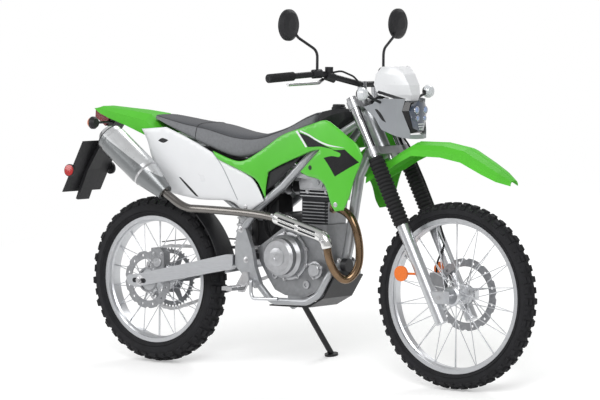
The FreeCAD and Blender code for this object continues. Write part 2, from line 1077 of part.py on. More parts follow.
def origin_plane(body, role):
    for feature in body.Origin.OriginFeatures:
        if feature.Role == role:
            return feature
    raise ValueError(role)


def flat_sketch(body, role, offset, turn):
    sketch = body.newObject("Sketcher::SketchObject", body.Name + "_sketch")
    sketch.AttachmentSupport = [(origin_plane(body, role), "")]
    sketch.MapMode = "FlatFace"
    sketch.AttachmentOffset = FreeCAD.Placement(vec(offset), turn or FreeCAD.Rotation())
    for axis, part in zip("xyz", offset):
        sketch.setExpression("AttachmentOffset.Base." + axis, term(part).text)
    return sketch


def polygon(body, role, points, offset=(0, 0, 0), turn=None):
    """A closed outline, each corner held by two distances tied to the sheet."""
    sketch = flat_sketch(body, role, offset, turn)
    corners = [Vector(term(u).value, term(v).value, 0) for u, v in points]
    count = len(corners)
    for i in range(count):
        sketch.addGeometry(Part.LineSegment(corners[i], corners[(i + 1) % count]), False)
    for i in range(count):
        sketch.addConstraint(Sketcher.Constraint("Coincident", i, 2, (i + 1) % count, 1))
    for i in range(count):
        for kind, part in zip(("DistanceX", "DistanceY"), points[i]):
            held = sketch.addConstraint(Sketcher.Constraint(kind, -1, 1, i, 1, term(part).value))
            sketch.setExpression("Constraints[%d]" % held, term(part).text)
    return sketch


def pad(body, sketch, length):
    feature = body.newObject("PartDesign::Pad", body.Name + "_pad")
    feature.Profile = sketch
    bind(feature, "Length", length)
    return feature


def revolve(body, sketch, axis="H_Axis"):
    feature = body.newObject("PartDesign::Revolution", body.Name + "_revolution")
    feature.Profile = sketch
    feature.ReferenceAxis = (sketch, [axis])
    feature.Angle = 360
    return feature


def repeat(body, feature, sketch, count):
    """Copies of a feature all the way round the sketch's own axis."""
    pattern = body.newObject("PartDesign::PolarPattern", body.Name + "_pattern")
    pattern.Originals = [feature]
    pattern.Axis = (sketch, ["H_Axis"])
    pattern.Angle = 360
    pattern.Occurrences = count
    body.Tip = pattern
    return pattern


def slab(name, outline, y_low, y_high):
    """A plate with a side-view outline between two distances from the middle plane."""
    body = new_body(name)
    pad(body, polygon(body, "XZ_Plane", outline, (0, 0, -term(y_high))), term(y_high) - y_low)
    return body


def layer(name, outline, z_low, z_high):
    """A plate with a plan-view outline between two heights."""
    body = new_body(name)
    pad(body, polygon(body, "XY_Plane", outline, (0, 0, z_low)), term(z_high) - z_low)
    return body


def risen(name, sections, heights):
    """A body through plan-view outlines at a row of heights."""
    body = new_body(name)
    sketches = []
    for outline, height in zip(sections, heights):
        sketches.append(polygon(body, "XY_Plane", outline, (0, 0, height)))
    feature = body.newObject("PartDesign::AdditiveLoft", body.Name + "_loft")
    feature.Profile = sketches[0]
    feature.Sections = sketches[1:]
    feature.Ruled = True
    return body


def turned(name, profile, axle_x, axle_z):
    """A ring or hub turned about a wheel axle.  The profile gives y and the radius."""
    body = new_body(name)
    sketch = polygon(body, "YZ_Plane", profile, (0, axle_z, axle_x))
    revolve(body, sketch)
    return body, sketch


def spun(name, profile, start, end):
    """A body turned about the line between two points.  The profile gives the radius and the height."""
    body = new_body(name)
    revolve(body, polygon(body, "XZ_Plane", profile), "V_Axis")
    place(body, start, towards(start, end))
    return body


def lofted(name, sections, stations):
    """A body through front-view outlines at stations along the bike."""
    body = new_body(name)
    sketches = []
    for outline, station in zip(sections, stations):
        sketches.append(polygon(body, "YZ_Plane", outline, (0, 0, station)))
    feature = body.newObject("PartDesign::AdditiveLoft", body.Name + "_loft")
    feature.Profile = sketches[0]
    feature.Sections = sketches[1:]
    feature.Ruled = True
    return body


def node(label, parts):
    """Registers one sub-part; several pieces of one node are kept as a compound."""
    for part in parts:
        part.Label = part.Label + "_solid"
    thing = together(label + "_node", parts)
    thing.Label = label
    nodes.append(thing)
    return thing


# Fork frame.
LEAN_BACK = math.radians(size.caster_angle.value)


def fork_point(along, side, ahead=0):
    """A point by its distance up the fork legs, its side and how far it lies ahead of them."""
    sine = math.sin(LEAN_BACK)
    cosine = math.cos(LEAN_BACK)
    x = size.wheelbase + cosine * (term(ahead) - size.fork_lead) - sine * term(along)
    z = size.front_tyre_radius + sine * (term(ahead) - size.fork_lead) + cosine * term(along)
    return (x, term(side), z)


def steer_point(along, side=0, ahead=0):
    """A point measured from the steering axis in place of the fork legs."""
    return fork_point(along, side, term(ahead) - size.clamp_offset)


def fork_turn():
    return FreeCAD.Rotation(Vector(0, 1, 0), -size.caster_angle.value)


clamp_top = fork_point(size.clamp_high, 0)
clamp_foot = fork_point(size.clamp_low, 0)
bar_seat = fork_point(size.clamp_high + size.riser_rise, 0, size.riser_ahead)
arm_pivot = (size.pivot_x, size.pivot_z)


def flat(point):
    """A point as it shows in the side view."""
    return (point[0], point[2])


def flat_plan(point):
    """A point as it shows from above."""
    return (point[0], point[1])


def clamp_side(table):
    """Side-view points carried by the upper clamp."""
    return carried_all(flat(clamp_top), table)


# Stand pivot.
def foot_point():
    """The middle of the foot's sole, on the ground that the leaning bike stands on."""
    lean = math.radians(size.lean_angle.value)
    return (size.foot_x, size.foot_y, size.foot_y * math.tan(lean) - size.foot_drop)


def stand_point(along):
    """A point on the stand's pivot line, which is square to the leg both down and folded."""
    pivot = (size.stand_x, size.stand_y, size.stand_z)
    down = vec(foot_point()) - vec(pivot)
    folded = vec((size.fold_x, size.fold_y, size.fold_z)) - vec(pivot)
    line = down.cross(folded).normalize()
    return tuple(a + term(along) * b for a, b in zip(pivot, line))


# Wheels.
def many_sided(name, axle, sections, around):
    """A solid of flat faces about a wheel axle.  Each section gives y and the radius to the corners."""
    outlines = []
    for y, radius in sections:
        outline = doc.addObject("Part::RegularPolygon", name + "_outline")
        outline.Polygon = around
        bind(outline, "Circumradius", radius)
        half_step = FreeCAD.Rotation(Vector(0, 1, 0), 180 / around)
        place(outline, (axle[0], y, axle[1]), half_step * FreeCAD.Rotation(Vector(1, 0, 0), 90))
        outlines.append(outline)
    solid = doc.addObject("Part::Loft", name)
    solid.Sections = outlines
    solid.Solid = True
    solid.Ruled = True
    return solid


def make_carcass(name, axle, around, outer, inner):
    """The tyre without its lugs: flat-faced, hollow where the rim sits."""
    corner = 1 / math.cos(math.pi / around)
    side, shoulder, top, crown = outer
    inside, bead, lip, belly = inner
    sections = [(-side, shoulder), (-top, crown), (top, crown), (side, shoulder)]
    shell = many_sided(name + "_shell", axle, sections, around)
    room = many_sided(name + "_room", axle, [(-inside, bead * corner), (inside, bead * corner)], around)
    hollows = [room]
    for face in (-1, 1):
        hollows.append(many_sided(name + "_mouth", axle, [(inside * face, lip * corner), (side * face,
                                                                                          belly * corner)],
                                  around))
    return cut(name + "_carcass", shell, fuse(name + "_hollow", hollows))


def make_tyre(name, axle, radius, width, tread, rim_radius, rim_width):
    """A carcass and one ring of lugs that reach from shoulder to shoulder."""
    gap = size.seat_gap
    count = int(size.tread_count.value)
    crown = radius - tread
    inside = rim_width / 2 - size.rim_wall - gap
    side = width / 2 - tread / 2
    shoulder = crown - (crown - rim_radius) * SHOULDER_SHARE
    belly = rim_radius + (crown - rim_radius) * BELLY_SHARE
    top = size.crown_half
    carcass = make_carcass(name, axle, count * 2, (side, shoulder, top, crown),
                           (inside, rim_radius - size.flange_height + gap, rim_radius + gap, belly))
    mid, foot, sunk = LUG_SHARES
    belt_low = crown - tread * 2
    belt_high = crown - tread / 2
    belt = [(-top, belt_low), (top, belt_low), (top, belt_high), (-top, belt_high)]
    body, sketch = turned(name + "_lugs", belt, axle[0], axle[1])
    length = radius * 2 * math.pi / count * size.tread_share
    lug = [
        (-width * foot, crown - tread),
        (width * foot, crown - tread),
        (width / 2, shoulder + tread / 2),
        (width * mid, radius - tread * sunk),
        (top, radius),
        (-top, radius),
        (-width * mid, radius - tread * sunk),
        (-width / 2, shoulder + tread / 2),
    ]
    lug_sketch = polygon(body, "YZ_Plane", lug, (0, axle[1], axle[0] - length / 2))
    repeat(body, pad(body, lug_sketch, length), sketch, count)
    return fuse(name, [carcass, body])


def make_rim(name, axle, radius, width):
    bead = radius - size.flange_height
    well = radius - size.rim_depth - size.rim_wall
    inside = width / 2 - size.rim_wall
    under_edge, under_well, top_edge, top_well = [width * share for share in RIM_WELL_SHARES]
    half = [
        (under_well, well),
        (under_edge, bead - size.rim_wall),
        (width / 2, bead - size.rim_wall),
        (width / 2, radius),
        (inside, radius),
        (inside, bead),
        (top_edge, bead),
        (top_well, well + size.rim_wall),
    ]
    profile = half + [(-y, up) for y, up in reversed(half)]
    return turned(name, profile, axle[0], axle[1])[0]


def make_hub(name, axle, width, barrel, flange, bore):
    lip = size.flange_thickness
    profile = [
        (-width / 2, bore),
        (width / 2, bore),
        (width / 2, flange * HUB_EDGE_SHARE),
        (width / 2 - lip, flange),
        (width / 2 - lip * 2, flange),
        (width / 2 - lip * 3, barrel),
        (lip * 3 - width / 2, barrel),
        (lip * 2 - width / 2, flange),
        (lip - width / 2, flange),
        (-width / 2, flange * HUB_EDGE_SHARE),
    ]
    return turned(name, profile, axle[0], axle[1])[0]


def make_spokes(name, axle, hub_y, hub_radius, rim_radius, rim_y):
    """Thirty-six crossed spokes, nine to each of the four families."""
    spokes = []
    for side in (-1, 1):
        for lead in (-1, 1):
            for i in range(SPOKES_PER_FAMILY):
                start = 2 * math.pi * i / SPOKES_PER_FAMILY + math.radians(FAMILY_TURN * (side + lead))
                end = start + math.radians(SPOKE_TURN * lead)
                low = (
                    axle[0] + hub_radius * math.sin(end),
                    hub_y * side + size.spoke_radius * SPOKE_SPREAD_SHARE * lead,
                    axle[1] + hub_radius * math.cos(end),
                )
                high = (
                    axle[0] + rim_radius * math.sin(start),
                    rim_y * side,
                    axle[1] + rim_radius * math.cos(start),
                )
                spokes.append(rod(name + "_spoke", low, high, size.spoke_radius))
    return spokes


def make_disc(name, axle, y, radius, inner, hub_radius):
    """A scalloped and drilled brake disc: a band on a ring of slanted arms."""
    half = size.disc_thickness / 2
    band, sketch = turned(
        name + "_band",
        [(y - half, inner), (y + half, inner), (y + half, radius), (y - half, radius)],
        axle[0],
        axle[1],
    )
    tools = []
    count = int(size.scallop_count.value)
    for i in range(count):
        for turn, reach, tool_radius in (
            (i, radius + size.scallop_radius * SCALLOP_SHARE, size.scallop_radius),
            (i + 1 / 2, (radius + inner) / 2, size.disc_hole_radius),
        ):
            angle = 2 * math.pi * turn / count
            x = axle[0] + reach * math.sin(angle)
            z = axle[1] + reach * math.cos(angle)
            tools.append(rod(name + "_drill", (x, y - half * 2, z), (x, y + half * 2, z), tool_radius))
    arms = []
    for i in range(DISC_ARMS):
        angle = 2 * math.pi * i / DISC_ARMS
        start = (axle[0] + hub_radius * math.sin(angle), y, axle[1] + hub_radius * math.cos(angle))
        bend = angle + math.radians(ARM_SLANT)
        end = (axle[0] + (inner + half) * math.sin(bend), y, axle[1] + (inner + half) * math.cos(bend))
        arms.append(rod(name + "_arm", start, end, half))
    collar = turned(
        name + "_collar",
        [(y - half, hub_radius - size.flange_thickness), (y + half, hub_radius - size.flange_thickness),
         (y + half, hub_radius + half), (y - half, hub_radius + half)],
        axle[0],
        axle[1],
    )[0]
    drilled = cut(name + "_drilled", band, together(name + "_drills", tools))
    return [fuse(name + "_joined", [drilled, collar] + arms)]


front_axle = (size.wheelbase, size.front_tyre_radius)
rear_axle = (term(0), size.rear_tyre_radius)
front_axle_point = (size.wheelbase, term(0), size.front_tyre_radius)


def make_front_wheel():
    gap = size.seat_gap
    node("front_tyre", [make_tyre("front_tyre", front_axle, size.front_tyre_radius, size.front_tyre_width,
                                  size.front_tread_depth, size.front_rim_radius, size.front_rim_width)])
    node("front_rim", [make_rim("front_rim", front_axle, size.front_rim_radius, size.front_rim_width)])
    hub = make_hub("front_hub_core", front_axle, size.front_hub_width, size.front_hub_radius,
                   size.front_flange_radius, size.front_axle_radius + size.running_gap)
    well = size.front_rim_radius - size.rim_depth - size.rim_wall - gap * 3
    boss = turned(
        "front_disc_boss",
        [(size.front_hub_width / 2, size.front_axle_radius + size.running_gap),
         (size.front_disc_y - size.disc_thickness / 2 - gap, size.front_axle_radius + size.running_gap),
         (size.front_disc_y - size.disc_thickness / 2 - gap, size.front_flange_radius),
         (size.front_hub_width / 2, size.front_flange_radius)],
        front_axle[0],
        front_axle[1],
    )[0]
    spokes = make_spokes("front", front_axle, size.front_hub_width / 2 - size.flange_thickness * 1.5,
                         size.front_flange_radius - size.flange_thickness, well, size.rim_wall)
    node("front_hub", [fuse("front_hub_joined", [hub, boss] + spokes)])
    node("front_disc", make_disc("front_disc", front_axle, size.front_disc_y, size.front_disc_radius,
                                 size.front_disc_radius - size.disc_band, size.front_flange_radius))


def make_rear_wheel():
    gap = size.seat_gap
    node("rear_tyre", [make_tyre("rear_tyre", rear_axle, size.rear_tyre_radius, size.rear_tyre_width,
                                 size.rear_tread_depth, size.rear_rim_radius, size.rear_rim_width)])
    node("rear_rim", [make_rim("rear_rim", rear_axle, size.rear_rim_radius, size.rear_rim_width)])
    bore = size.rear_axle_radius + size.running_gap
    hub = make_hub("rear_hub_core", rear_axle, size.rear_hub_width, size.rear_hub_radius,
                   size.rear_flange_radius, bore)
    parts = [hub]
    sprocket_face = size.chain_y - size.sprocket_thickness / 2
    disc_face = size.rear_disc_y - size.disc_thickness / 2
    for side, reach in ((1, sprocket_face), (-1, disc_face)):
        inner = size.rear_hub_width / 2
        parts.append(turned(
            "rear_boss",
            [(inner * side, bore), ((reach - gap) * side, bore), ((reach - gap) * side,
                                                                  size.rear_flange_radius),
             (inner * side, size.rear_flange_radius)],
            rear_axle[0],
            rear_axle[1],
        )[0])
    well = size.rear_rim_radius - size.rim_depth - size.rim_wall - gap * 3
    parts += make_spokes("rear", rear_axle, size.rear_hub_width / 2 - size.flange_thickness * 1.5,
                         size.rear_flange_radius - size.flange_thickness, well, size.rim_wall)
    node("rear_hub", [fuse("rear_hub_joined", parts)])
    node("rear_disc", make_disc("rear_disc", rear_axle, -size.rear_disc_y, size.rear_disc_radius,
                                size.rear_disc_radius - size.disc_band, size.rear_flange_radius))
    half = size.sprocket_thickness / 2
    ring, sketch = turned(
        "rear_sprocket",
        [(size.chain_y - half, size.rear_flange_radius - size.flange_thickness * 2),
         (size.chain_y + half, size.rear_flange_radius - size.flange_thickness * 2),
         (size.chain_y + half, size.rear_sprocket_radius - size.chain_height / 2 - gap * 2),
         (size.chain_y - half, size.rear_sprocket_radius - size.chain_height / 2 - gap * 2)],
        rear_axle[0],
        rear_axle[1],
    )
    node("rear_sprocket", [ring])


# Frame.
def spar_line():
    """The spar's centre line, from the head tube down to the swingarm pivot."""
    root = steer_point(size.clamp_high - size.spar_drop, size.spar_root_y, -size.spar_root_back)
    return [root] + scaled_all(SPAR_SHARES)


def make_hanger():
    """The drilled plate and bolt boss that hang the cylinder head from the spar."""
    low = size.half_width - size.hanger_in
    plate = slab("hanger_plate", side_points(HANGER_SHARES), low, low + size.hanger_thickness)
    holes = []
    for x, z in side_points(HANGER_HOLE_SHARES):
        holes.append(rod("hanger_hole", (x, size.head_half, z), (x, size.half_width, z),
                         size.hanger_hole_radius))
    x, z = side_points(HANGER_BOLT_SHARES)[0]
    boss = rod("hanger_boss", (x, size.head_half + size.seat_gap, z), (x,
                                                                       low + size.hanger_thickness * 1.5,
                                                                       z),
               size.bracket_radius)
    return fuse("hanger", [cut("hanger_drilled", plate, together("hanger_holes", holes)), boss])


def make_frame():
    spar = tube("spar", spar_line(), size.spar_radius, size.tube_bend)
    cradle = tube("cradle", scaled_all(CRADLE_SHARES), size.cradle_radius, size.tube_bend)
    downtube_line = [steer_point(size.clamp_low + size.downtube_rise, 0, -size.downtube_root_back)]
    downtube = tube("downtube", downtube_line + scaled_all(DOWNTUBE_SHARES), size.downtube_radius,
                    size.tube_bend)
    low = size.clamp_low + size.clamp_thickness / 2 + size.head_clearance
    high = size.clamp_high - size.clamp_thickness / 2 - size.head_clearance
    head = rod("head_tube", steer_point(low), steer_point(high), size.head_radius)
    plate = slab("pivot_plate", side_points(PIVOT_PLATE_SHARES), size.half_width - size.pivot_plate,
                 size.half_width + size.pivot_plate)
    cross = rod("rear_cross", (size.spar_foot_x, -size.half_width, size.spar_foot_z),
                (size.spar_foot_x, size.half_width, size.spar_foot_z), size.cradle_radius)
    bolt = rod("pivot_bolt", (size.pivot_x, -size.half_width, size.pivot_z),
               (size.pivot_x, size.half_width, size.pivot_z), size.pivot_pin_radius)
    skeleton = fuse("frame_joined", [head, downtube, cross, bolt] + both_sides(spar) + both_sides(cradle)
                    + both_sides(plate) + both_sides(make_hanger()))
    stem_hole = rod("stem_hole", steer_point(low - size.head_clearance),
                    steer_point(high + size.head_clearance),
                    size.stem_radius + size.running_gap)
    bracket = slab("stand_bracket", side_points(STAND_BRACKET_SHARES), size.half_width - size.stand_radius,
                   size.half_width + size.skin)
    boss = rod("stand_pivot", stand_point(-size.stand_reach), stand_point(-size.stand_tab), size.stand_boss)
    stand_boss = fuse("stand_boss", [bracket, boss])
    return cut("frame_drilled", fuse("frame_bossed", [skeleton, stand_boss]), stem_hole)


def make_subframe(frame):
    rail = tube("rail", scaled_all(SUBFRAME_TOP_SHARES), size.rail_radius, size.tube_bend)
    strut = tube("strut", scaled_all(SUBFRAME_LOW_SHARES), size.rail_radius, size.tube_bend)
    end = scaled(SUBFRAME_TOP_SHARES[-1])
    bridge = rod("rail_bridge", (end[0], -end[1], end[2]), end, size.rail_radius)
    shock_cross = rod("shock_cross", (size.shock_cross_x, -end[1], size.shock_cross_z),
                      (size.shock_cross_x, end[1], size.shock_cross_z), size.rail_radius)
    post = rod("fender_post", (end[0], end[1] / 2, end[2]), (end[0], end[1] / 2, size.fender_post_z),
               size.shock_eye / 2)
    pairs = both_sides(rail) + both_sides(strut) + both_sides(post)
    joined = fuse("subframe_joined", pairs + [bridge, shock_cross])
    return cut("subframe_fitted", joined, frame)


# Engine.
def make_engine():
    gap = size.seat_gap
    case = slab("case_block", side_points(CASE_SHARES), -size.case_half, size.case_half)
    floor = size.chain_y - size.chain_width
    pocket = rod("sprocket_pocket", (size.front_sprocket_x, floor, size.front_sprocket_z),
                 (size.front_sprocket_x, size.half_width, size.front_sprocket_z),
                 size.front_sprocket_radius + size.pocket_room)
    gear = rod("front_sprocket", (size.front_sprocket_x, floor - gap, size.front_sprocket_z),
               (size.front_sprocket_x, size.chain_y + size.sprocket_thickness / 2, size.front_sprocket_z),
               size.front_sprocket_radius - size.chain_height / 2 - gap * 4)
    room = size.front_sprocket_radius + size.pocket_room
    bay = block("sprocket_bay", (size.front_sprocket_x - room * 2, floor, size.front_sprocket_z - room),
                (room * 2, size.half_width, room * 2))
    hollow = fuse("sprocket_room", [pocket, bay])
    node("crankcase", [fuse("crankcase_geared", [cut("crankcase_cut", case, hollow), gear])])
    clutch = round_cover("clutch_cover", (size.clutch_x, -size.case_half - gap, size.clutch_z),
                         (size.clutch_x, -size.clutch_out, size.clutch_z), size.clutch_radius)
    dynamo = round_cover("dynamo_cover", (size.dynamo_x, size.case_half + gap, size.dynamo_z),
                         (size.dynamo_x, size.dynamo_out, size.dynamo_z), size.dynamo_radius)
    filter_cover = round_cover("filter_cover", (size.filter_x, -size.case_half - gap, size.filter_z),
                               (size.filter_x, -size.filter_out, size.filter_z), size.filter_radius)
    node("engine_covers", [clutch, dynamo, filter_cover])
    barrel = slab("barrel", side_points(BARREL_SHARES), -size.barrel_half, size.barrel_half)
    fins = finned("barrel", BARREL_SHARES, size.barrel_half, int(size.fin_count.value))
    node("cylinder", [fuse("cylinder_finned", [barrel] + fins)])
    head = slab("head", side_points(ENGINE_HEAD_SHARES), -size.head_half, size.head_half)
    fins = finned("head", ENGINE_HEAD_SHARES, size.head_half, int(size.head_fin_count.value))
    node("cylinder_head", [fuse("cylinder_head_finned", [head] + fins)])


def profile_of(shares, radius, height):
    """A turned profile from its shares of the radius and the height."""
    return [(radius * out, height * up) for out, up in shares]


def round_cover(name, start, end, radius):
    """A turned side cover with a stepped and bevelled rim."""
    return spun(name, profile_of(COVER_PROFILE, radius, span(start, end)), start, end)


def finned(name, outline, half, count):
    """Cooling fins: thin plates round the block, one pitch apart from just above its foot."""
    corners = side_points(outline)
    back = corners[0][0] + size.seat_gap
    front = corners[1][0] + size.seat_gap
    reach = half + size.fin_reach
    fins = []
    for i in range(count):
        low = corners[0][1] + size.fin_pitch * i + size.fin_pitch / 2
        plate = [(back, -half), (back + size.fin_reach, -reach), (front - size.fin_reach, -reach), (front,
                                                                                                    -half),
                 (front, half), (front - size.fin_reach, reach), (back + size.fin_reach, reach), (back,
                                                                                                  half)]
        fins.append(layer(name + "_fin", plate, low, low + size.fin_thickness))
    return fins


def make_exhaust():
    """The header runs back into the neck of the muffler, in line with the muffler's own axis."""
    neck, cap = scaled_all(MUFFLER_SHARES)
    line = scaled_all(HEADER_SHARES)
    line.append(part_way(neck, cap, -size.neck_run))
    line.append(part_way(neck, cap, -size.seat_gap))
    stay = rod("pipe_stay", scaled(PIPE_STAY_SHARES[0]), scaled(PIPE_STAY_SHARES[1]), size.shock_eye / 2)
    node("exhaust_pipe", [fuse("exhaust_joined", [tube("exhaust_line", line, size.pipe_radius,
                                                       size.pipe_bend), stay])])
    profile = profile_of(CAN_PROFILE, size.muffler_radius, span(neck, cap))
    can = spun("muffler_can", profile, neck, cap)
    mouth = rod("tail_mouth", part_way(cap, neck, size.tail_depth), part_way(cap, neck, -size.tail_depth),
                size.tail_radius)
    node("muffler", [cut("muffler_bored", can, mouth)])


# Drive side.
def make_swingarm():
    outline = carried_all(arm_pivot, ARM_FRONT_SHARES) + carried_all(rear_axle, ARM_REAR_SHARES)
    arm = slab("arm", outline, size.arm_inside, size.arm_inside + size.arm_width)
    yoke = slab("yoke", carried_all(arm_pivot, YOKE_SHARES), -size.arm_inside - size.arm_width,
                size.arm_inside + size.arm_width)
    lug = slab("lug", carried_all(arm_pivot, PIVOT_LUG_SHARES), -size.yoke_half, size.yoke_half)
    joined = fuse("swingarm_joined", both_sides(arm) + [yoke, lug])
    pin = rod("pivot_hole", (size.pivot_x, -size.half_width, size.pivot_z),
              (size.pivot_x, size.half_width, size.pivot_z), size.pivot_pin_radius + size.seat_gap)
    hole = rod("axle_hole", (0, -size.axle_half, size.rear_tyre_radius), (0, size.axle_half,
                                                                          size.rear_tyre_radius),
               size.rear_axle_radius + size.seat_gap)
    node("swingarm", [cut("swingarm_bored", joined, fuse("arm_holes", [pin, hole]))])
    node("rear_axle", [rod("rear_axle", (0, -size.axle_half, size.rear_tyre_radius),
                           (0, size.axle_half, size.rear_tyre_radius), size.rear_axle_radius)])


def chain_outline(grow):
    """The chain's side view round both sprockets, moved out or in by the given amount."""
    reach = math.hypot(size.front_sprocket_x.value, (size.front_sprocket_z - size.rear_tyre_radius).value)
    rise = math.atan2((size.front_sprocket_z - size.rear_tyre_radius).value, size.front_sprocket_x.value)
    spread = math.acos((size.rear_sprocket_radius - size.front_sprocket_radius).value / reach)
    points = []
    for centre, radius, first, last, steps in (
        ((term(0), size.rear_tyre_radius), size.rear_sprocket_radius, spread, 2 * math.pi - spread,
         REAR_WRAP_STEPS),
        ((size.front_sprocket_x, size.front_sprocket_z), size.front_sprocket_radius, -spread, spread,
         FRONT_WRAP_STEPS),
    ):
        for i in range(steps + 1):
            angle = rise + first + (last - first) * i / steps
            points.append((centre[0] + (radius + grow) * math.cos(angle),
                           centre[1] + (radius + grow) * math.sin(angle)))
    return points


def chain_links():
    """The outer outline, drawn in by the waist between each two links."""
    half = size.chain_height / 2
    full = chain_outline(half)
    waist = chain_outline(half - size.chain_waist)
    lengths = [span(a, b).value for a, b in zip(full, full[1:] + full[:1])]
    steps = int(size.chain_links.value) * 2
    points = []
    for i in range(steps):
        left = sum(lengths) * i / steps
        at = 0
        while left > lengths[at]:
            left -= lengths[at]
            at += 1
        line = waist if i % 2 else full
        share = left / lengths[at]
        points.append(tuple(a + (b - a) * share for a, b in zip(line[at], line[(at + 1) % len(line)])))
    return points


def make_chain():
    """One fixed loop round both sprockets."""
    half = size.chain_height / 2
    low = size.chain_y - size.chain_width / 2
    high = size.chain_y + size.chain_width / 2
    outer = slab("chain_outer", chain_links(), low, high)
    inner = slab("chain_inner", chain_outline(-half), low - half, high + half)
    node("chain", [cut("chain_loop", outer, inner)])


# Fork and steering.
def make_fork():
    gap = size.seat_gap
    legs = []
    sliders = []
    gaiters = []
    for side in (-1, 1):
        y = size.fork_half * side
        legs.append(rod("stanchion", fork_point(size.slider_high - size.fork_overlap + gap, y),
                        fork_point(size.clamp_high + size.stanchion_stub, y), size.stanchion_radius))
        shell = rod("slider", fork_point(size.slider_low, y), fork_point(size.slider_high, y),
                    size.slider_radius)
        long, thick = LUG_BLOCK_SHARES
        foot = block("axle_lug", (front_axle[0] - size.axle_lug, y - size.slider_radius * thick,
                                  front_axle[1] - size.axle_lug / 2),
                     (size.axle_lug * long, size.slider_radius * thick * 2, size.axle_lug))
        hole = rod("slider_hole", fork_point(size.slider_high - size.fork_overlap, y),
                   fork_point(size.slider_high + gap, y), size.stanchion_radius + gap)
        axle_hole = rod("slider_axle_hole", (front_axle[0], -size.front_axle_half, front_axle[1]),
                        (front_axle[0], size.front_axle_half, front_axle[1]), size.front_axle_radius + gap)
        sliders.append(cut("slider_bored", fuse("slider_joined", [shell, foot]),
                           fuse("slider_holes", [hole, axle_hole])))
        gaiters.append(bellows("gaiter", fork_point(size.slider_high + gap, y),
                               fork_point(size.clamp_low - size.gaiter_drop, y),
                               size.stanchion_radius + gap))
    node("fork_tubes", legs)
    node("fork_sliders", sliders)
    node("fork_gaiters", gaiters)
    make_clamps()
    node("front_axle", [rod("front_axle", (front_axle[0], -size.front_axle_half, front_axle[1]),
                            (front_axle[0], size.front_axle_half, front_axle[1]), size.front_axle_radius)])


def bellows(name, start, end, bore):
    """A rubber gaiter: a row of folds between two plain cuffs."""
    length = span(start, end)
    crest = size.gaiter_radius
    valley = size.gaiter_radius - size.bellows_fold
    count = int(size.fold_count.value)
    pitch = length / (count + 2)
    profile = [(bore, 0), (valley, 0), (valley, pitch)]
    for i in range(count):
        profile.append((crest, pitch * (i + 1) + pitch / 2))
        profile.append((valley, pitch * (i + 2)))
    profile.append((valley, length))
    profile.append((bore, length))
    return spun(name, profile, start, end)


def make_clamps():
    gap = size.seat_gap
    bridges = []
    for along in (size.clamp_low, size.clamp_high):
        low = along - size.clamp_thickness / 2
        high = along + size.clamp_thickness / 2
        for side in (-1, 1):
            bridges.append(rod("clamp_ring", fork_point(low, size.fork_half * side),
                               fork_point(high, size.fork_half * side), size.slider_radius))
        bridges.append(rod("clamp_centre", steer_point(low), steer_point(high), size.head_radius))
        bridges.append(block("clamp_bridge", fork_point(low, -size.fork_half, -size.head_radius),
                             (size.head_radius * BRIDGE_SHARE, size.fork_half * 2, size.clamp_thickness),
                             fork_turn()))
    stem = rod("stem", steer_point(size.clamp_low), steer_point(size.clamp_high), size.stem_radius)
    holes = []
    for side in (-1, 1):
        holes.append(rod("clamp_hole", fork_point(size.clamp_low - size.gaiter_drop - size.clamp_thickness,
                                                  size.fork_half * side),
                         fork_point(size.clamp_high + size.stanchion_stub + gap, size.fork_half * side),
                         size.stanchion_radius + gap))
    boss = rod("fender_boss", fork_point(size.clamp_low - size.fender_drop, 0), fork_point(size.clamp_low, 0),
               size.bracket_radius)
    solid = fuse("clamps_joined", bridges + [stem, boss])
    risers = []
    for side in (-1, 1):
        foot = fork_point(size.clamp_high, size.riser_y * side, size.riser_foot_ahead)
        top = fork_point(size.clamp_high + size.riser_rise, size.riser_y * side, size.riser_ahead)
        risers.append(rod("riser", foot, top, size.head_radius * RISER_SHARE))
    bar = tube("bar_space", bar_line(), size.bar_radius + gap, size.bar_bend)
    whole = cut("clamps_bored", fuse("clamps_risen", [solid] + risers), fuse("clamp_holes", holes + [bar]))
    node("triple_clamps", [whole])


def bar_line():
    """The handlebar's centre line from the right end to the left."""
    left = carried_all(bar_seat, BAR_SHARES)
    right = [(x, -y, z) for x, y, z in reversed(left[1:])]
    return right + left


def make_handlebar():
    line = bar_line()
    bar = tube("bar", line, size.bar_radius, size.bar_bend)
    bores = []
    for end, inner in ((line[0], line[1]), (line[-1], line[-2])):
        bores.append(rod("bar_bore", end, part_way(end, inner, size.bar_bore_depth), size.bar_bore))
    node("handlebar", [cut("bar_bored", bar, fuse("bar_bores", bores))])
    grips = []
    for end, inner in ((line[0], line[1]), (line[-1], line[-2])):
        sleeve = rod("grip", end, part_way(end, inner, size.grip_length), size.grip_radius)
        hole = tube("grip_hole", line, size.bar_radius + size.seat_gap, size.bar_bend)
        grips.append(cut("grip_bored", sleeve, hole))
    node("grips", grips)


def make_mirrors():
    stem = tube("mirror_stem", carried_all(bar_seat, MIRROR_STEM_SHARES), size.mirror_stem_radius,
                size.pipe_bend)
    x, y, z = carried(bar_seat, MIRROR_STEM_SHARES[-1])
    depth = size.mirror_depth
    head = spun("mirror_head", profile_of(DOME_PROFILE, size.mirror_radius, depth), (x - depth / 2,
                                                                                     y + size.mirror_shift,
                                                                                     z + size.mirror_rise),
                (x + depth / 2, y + size.mirror_shift, z + size.mirror_rise))
    foot, top = carried_all(bar_seat, MIRROR_FOOT_SHARES)
    clamp = rod("mirror_clamp", foot, top, size.grip_radius)
    whole = cut("mirror_fitted", fuse("mirror_joined", [stem, head, clamp]),
                tube("mirror_bar_space", bar_line(), size.bar_radius + size.seat_gap, size.bar_bend))
    node("mirrors", both_sides(whole))


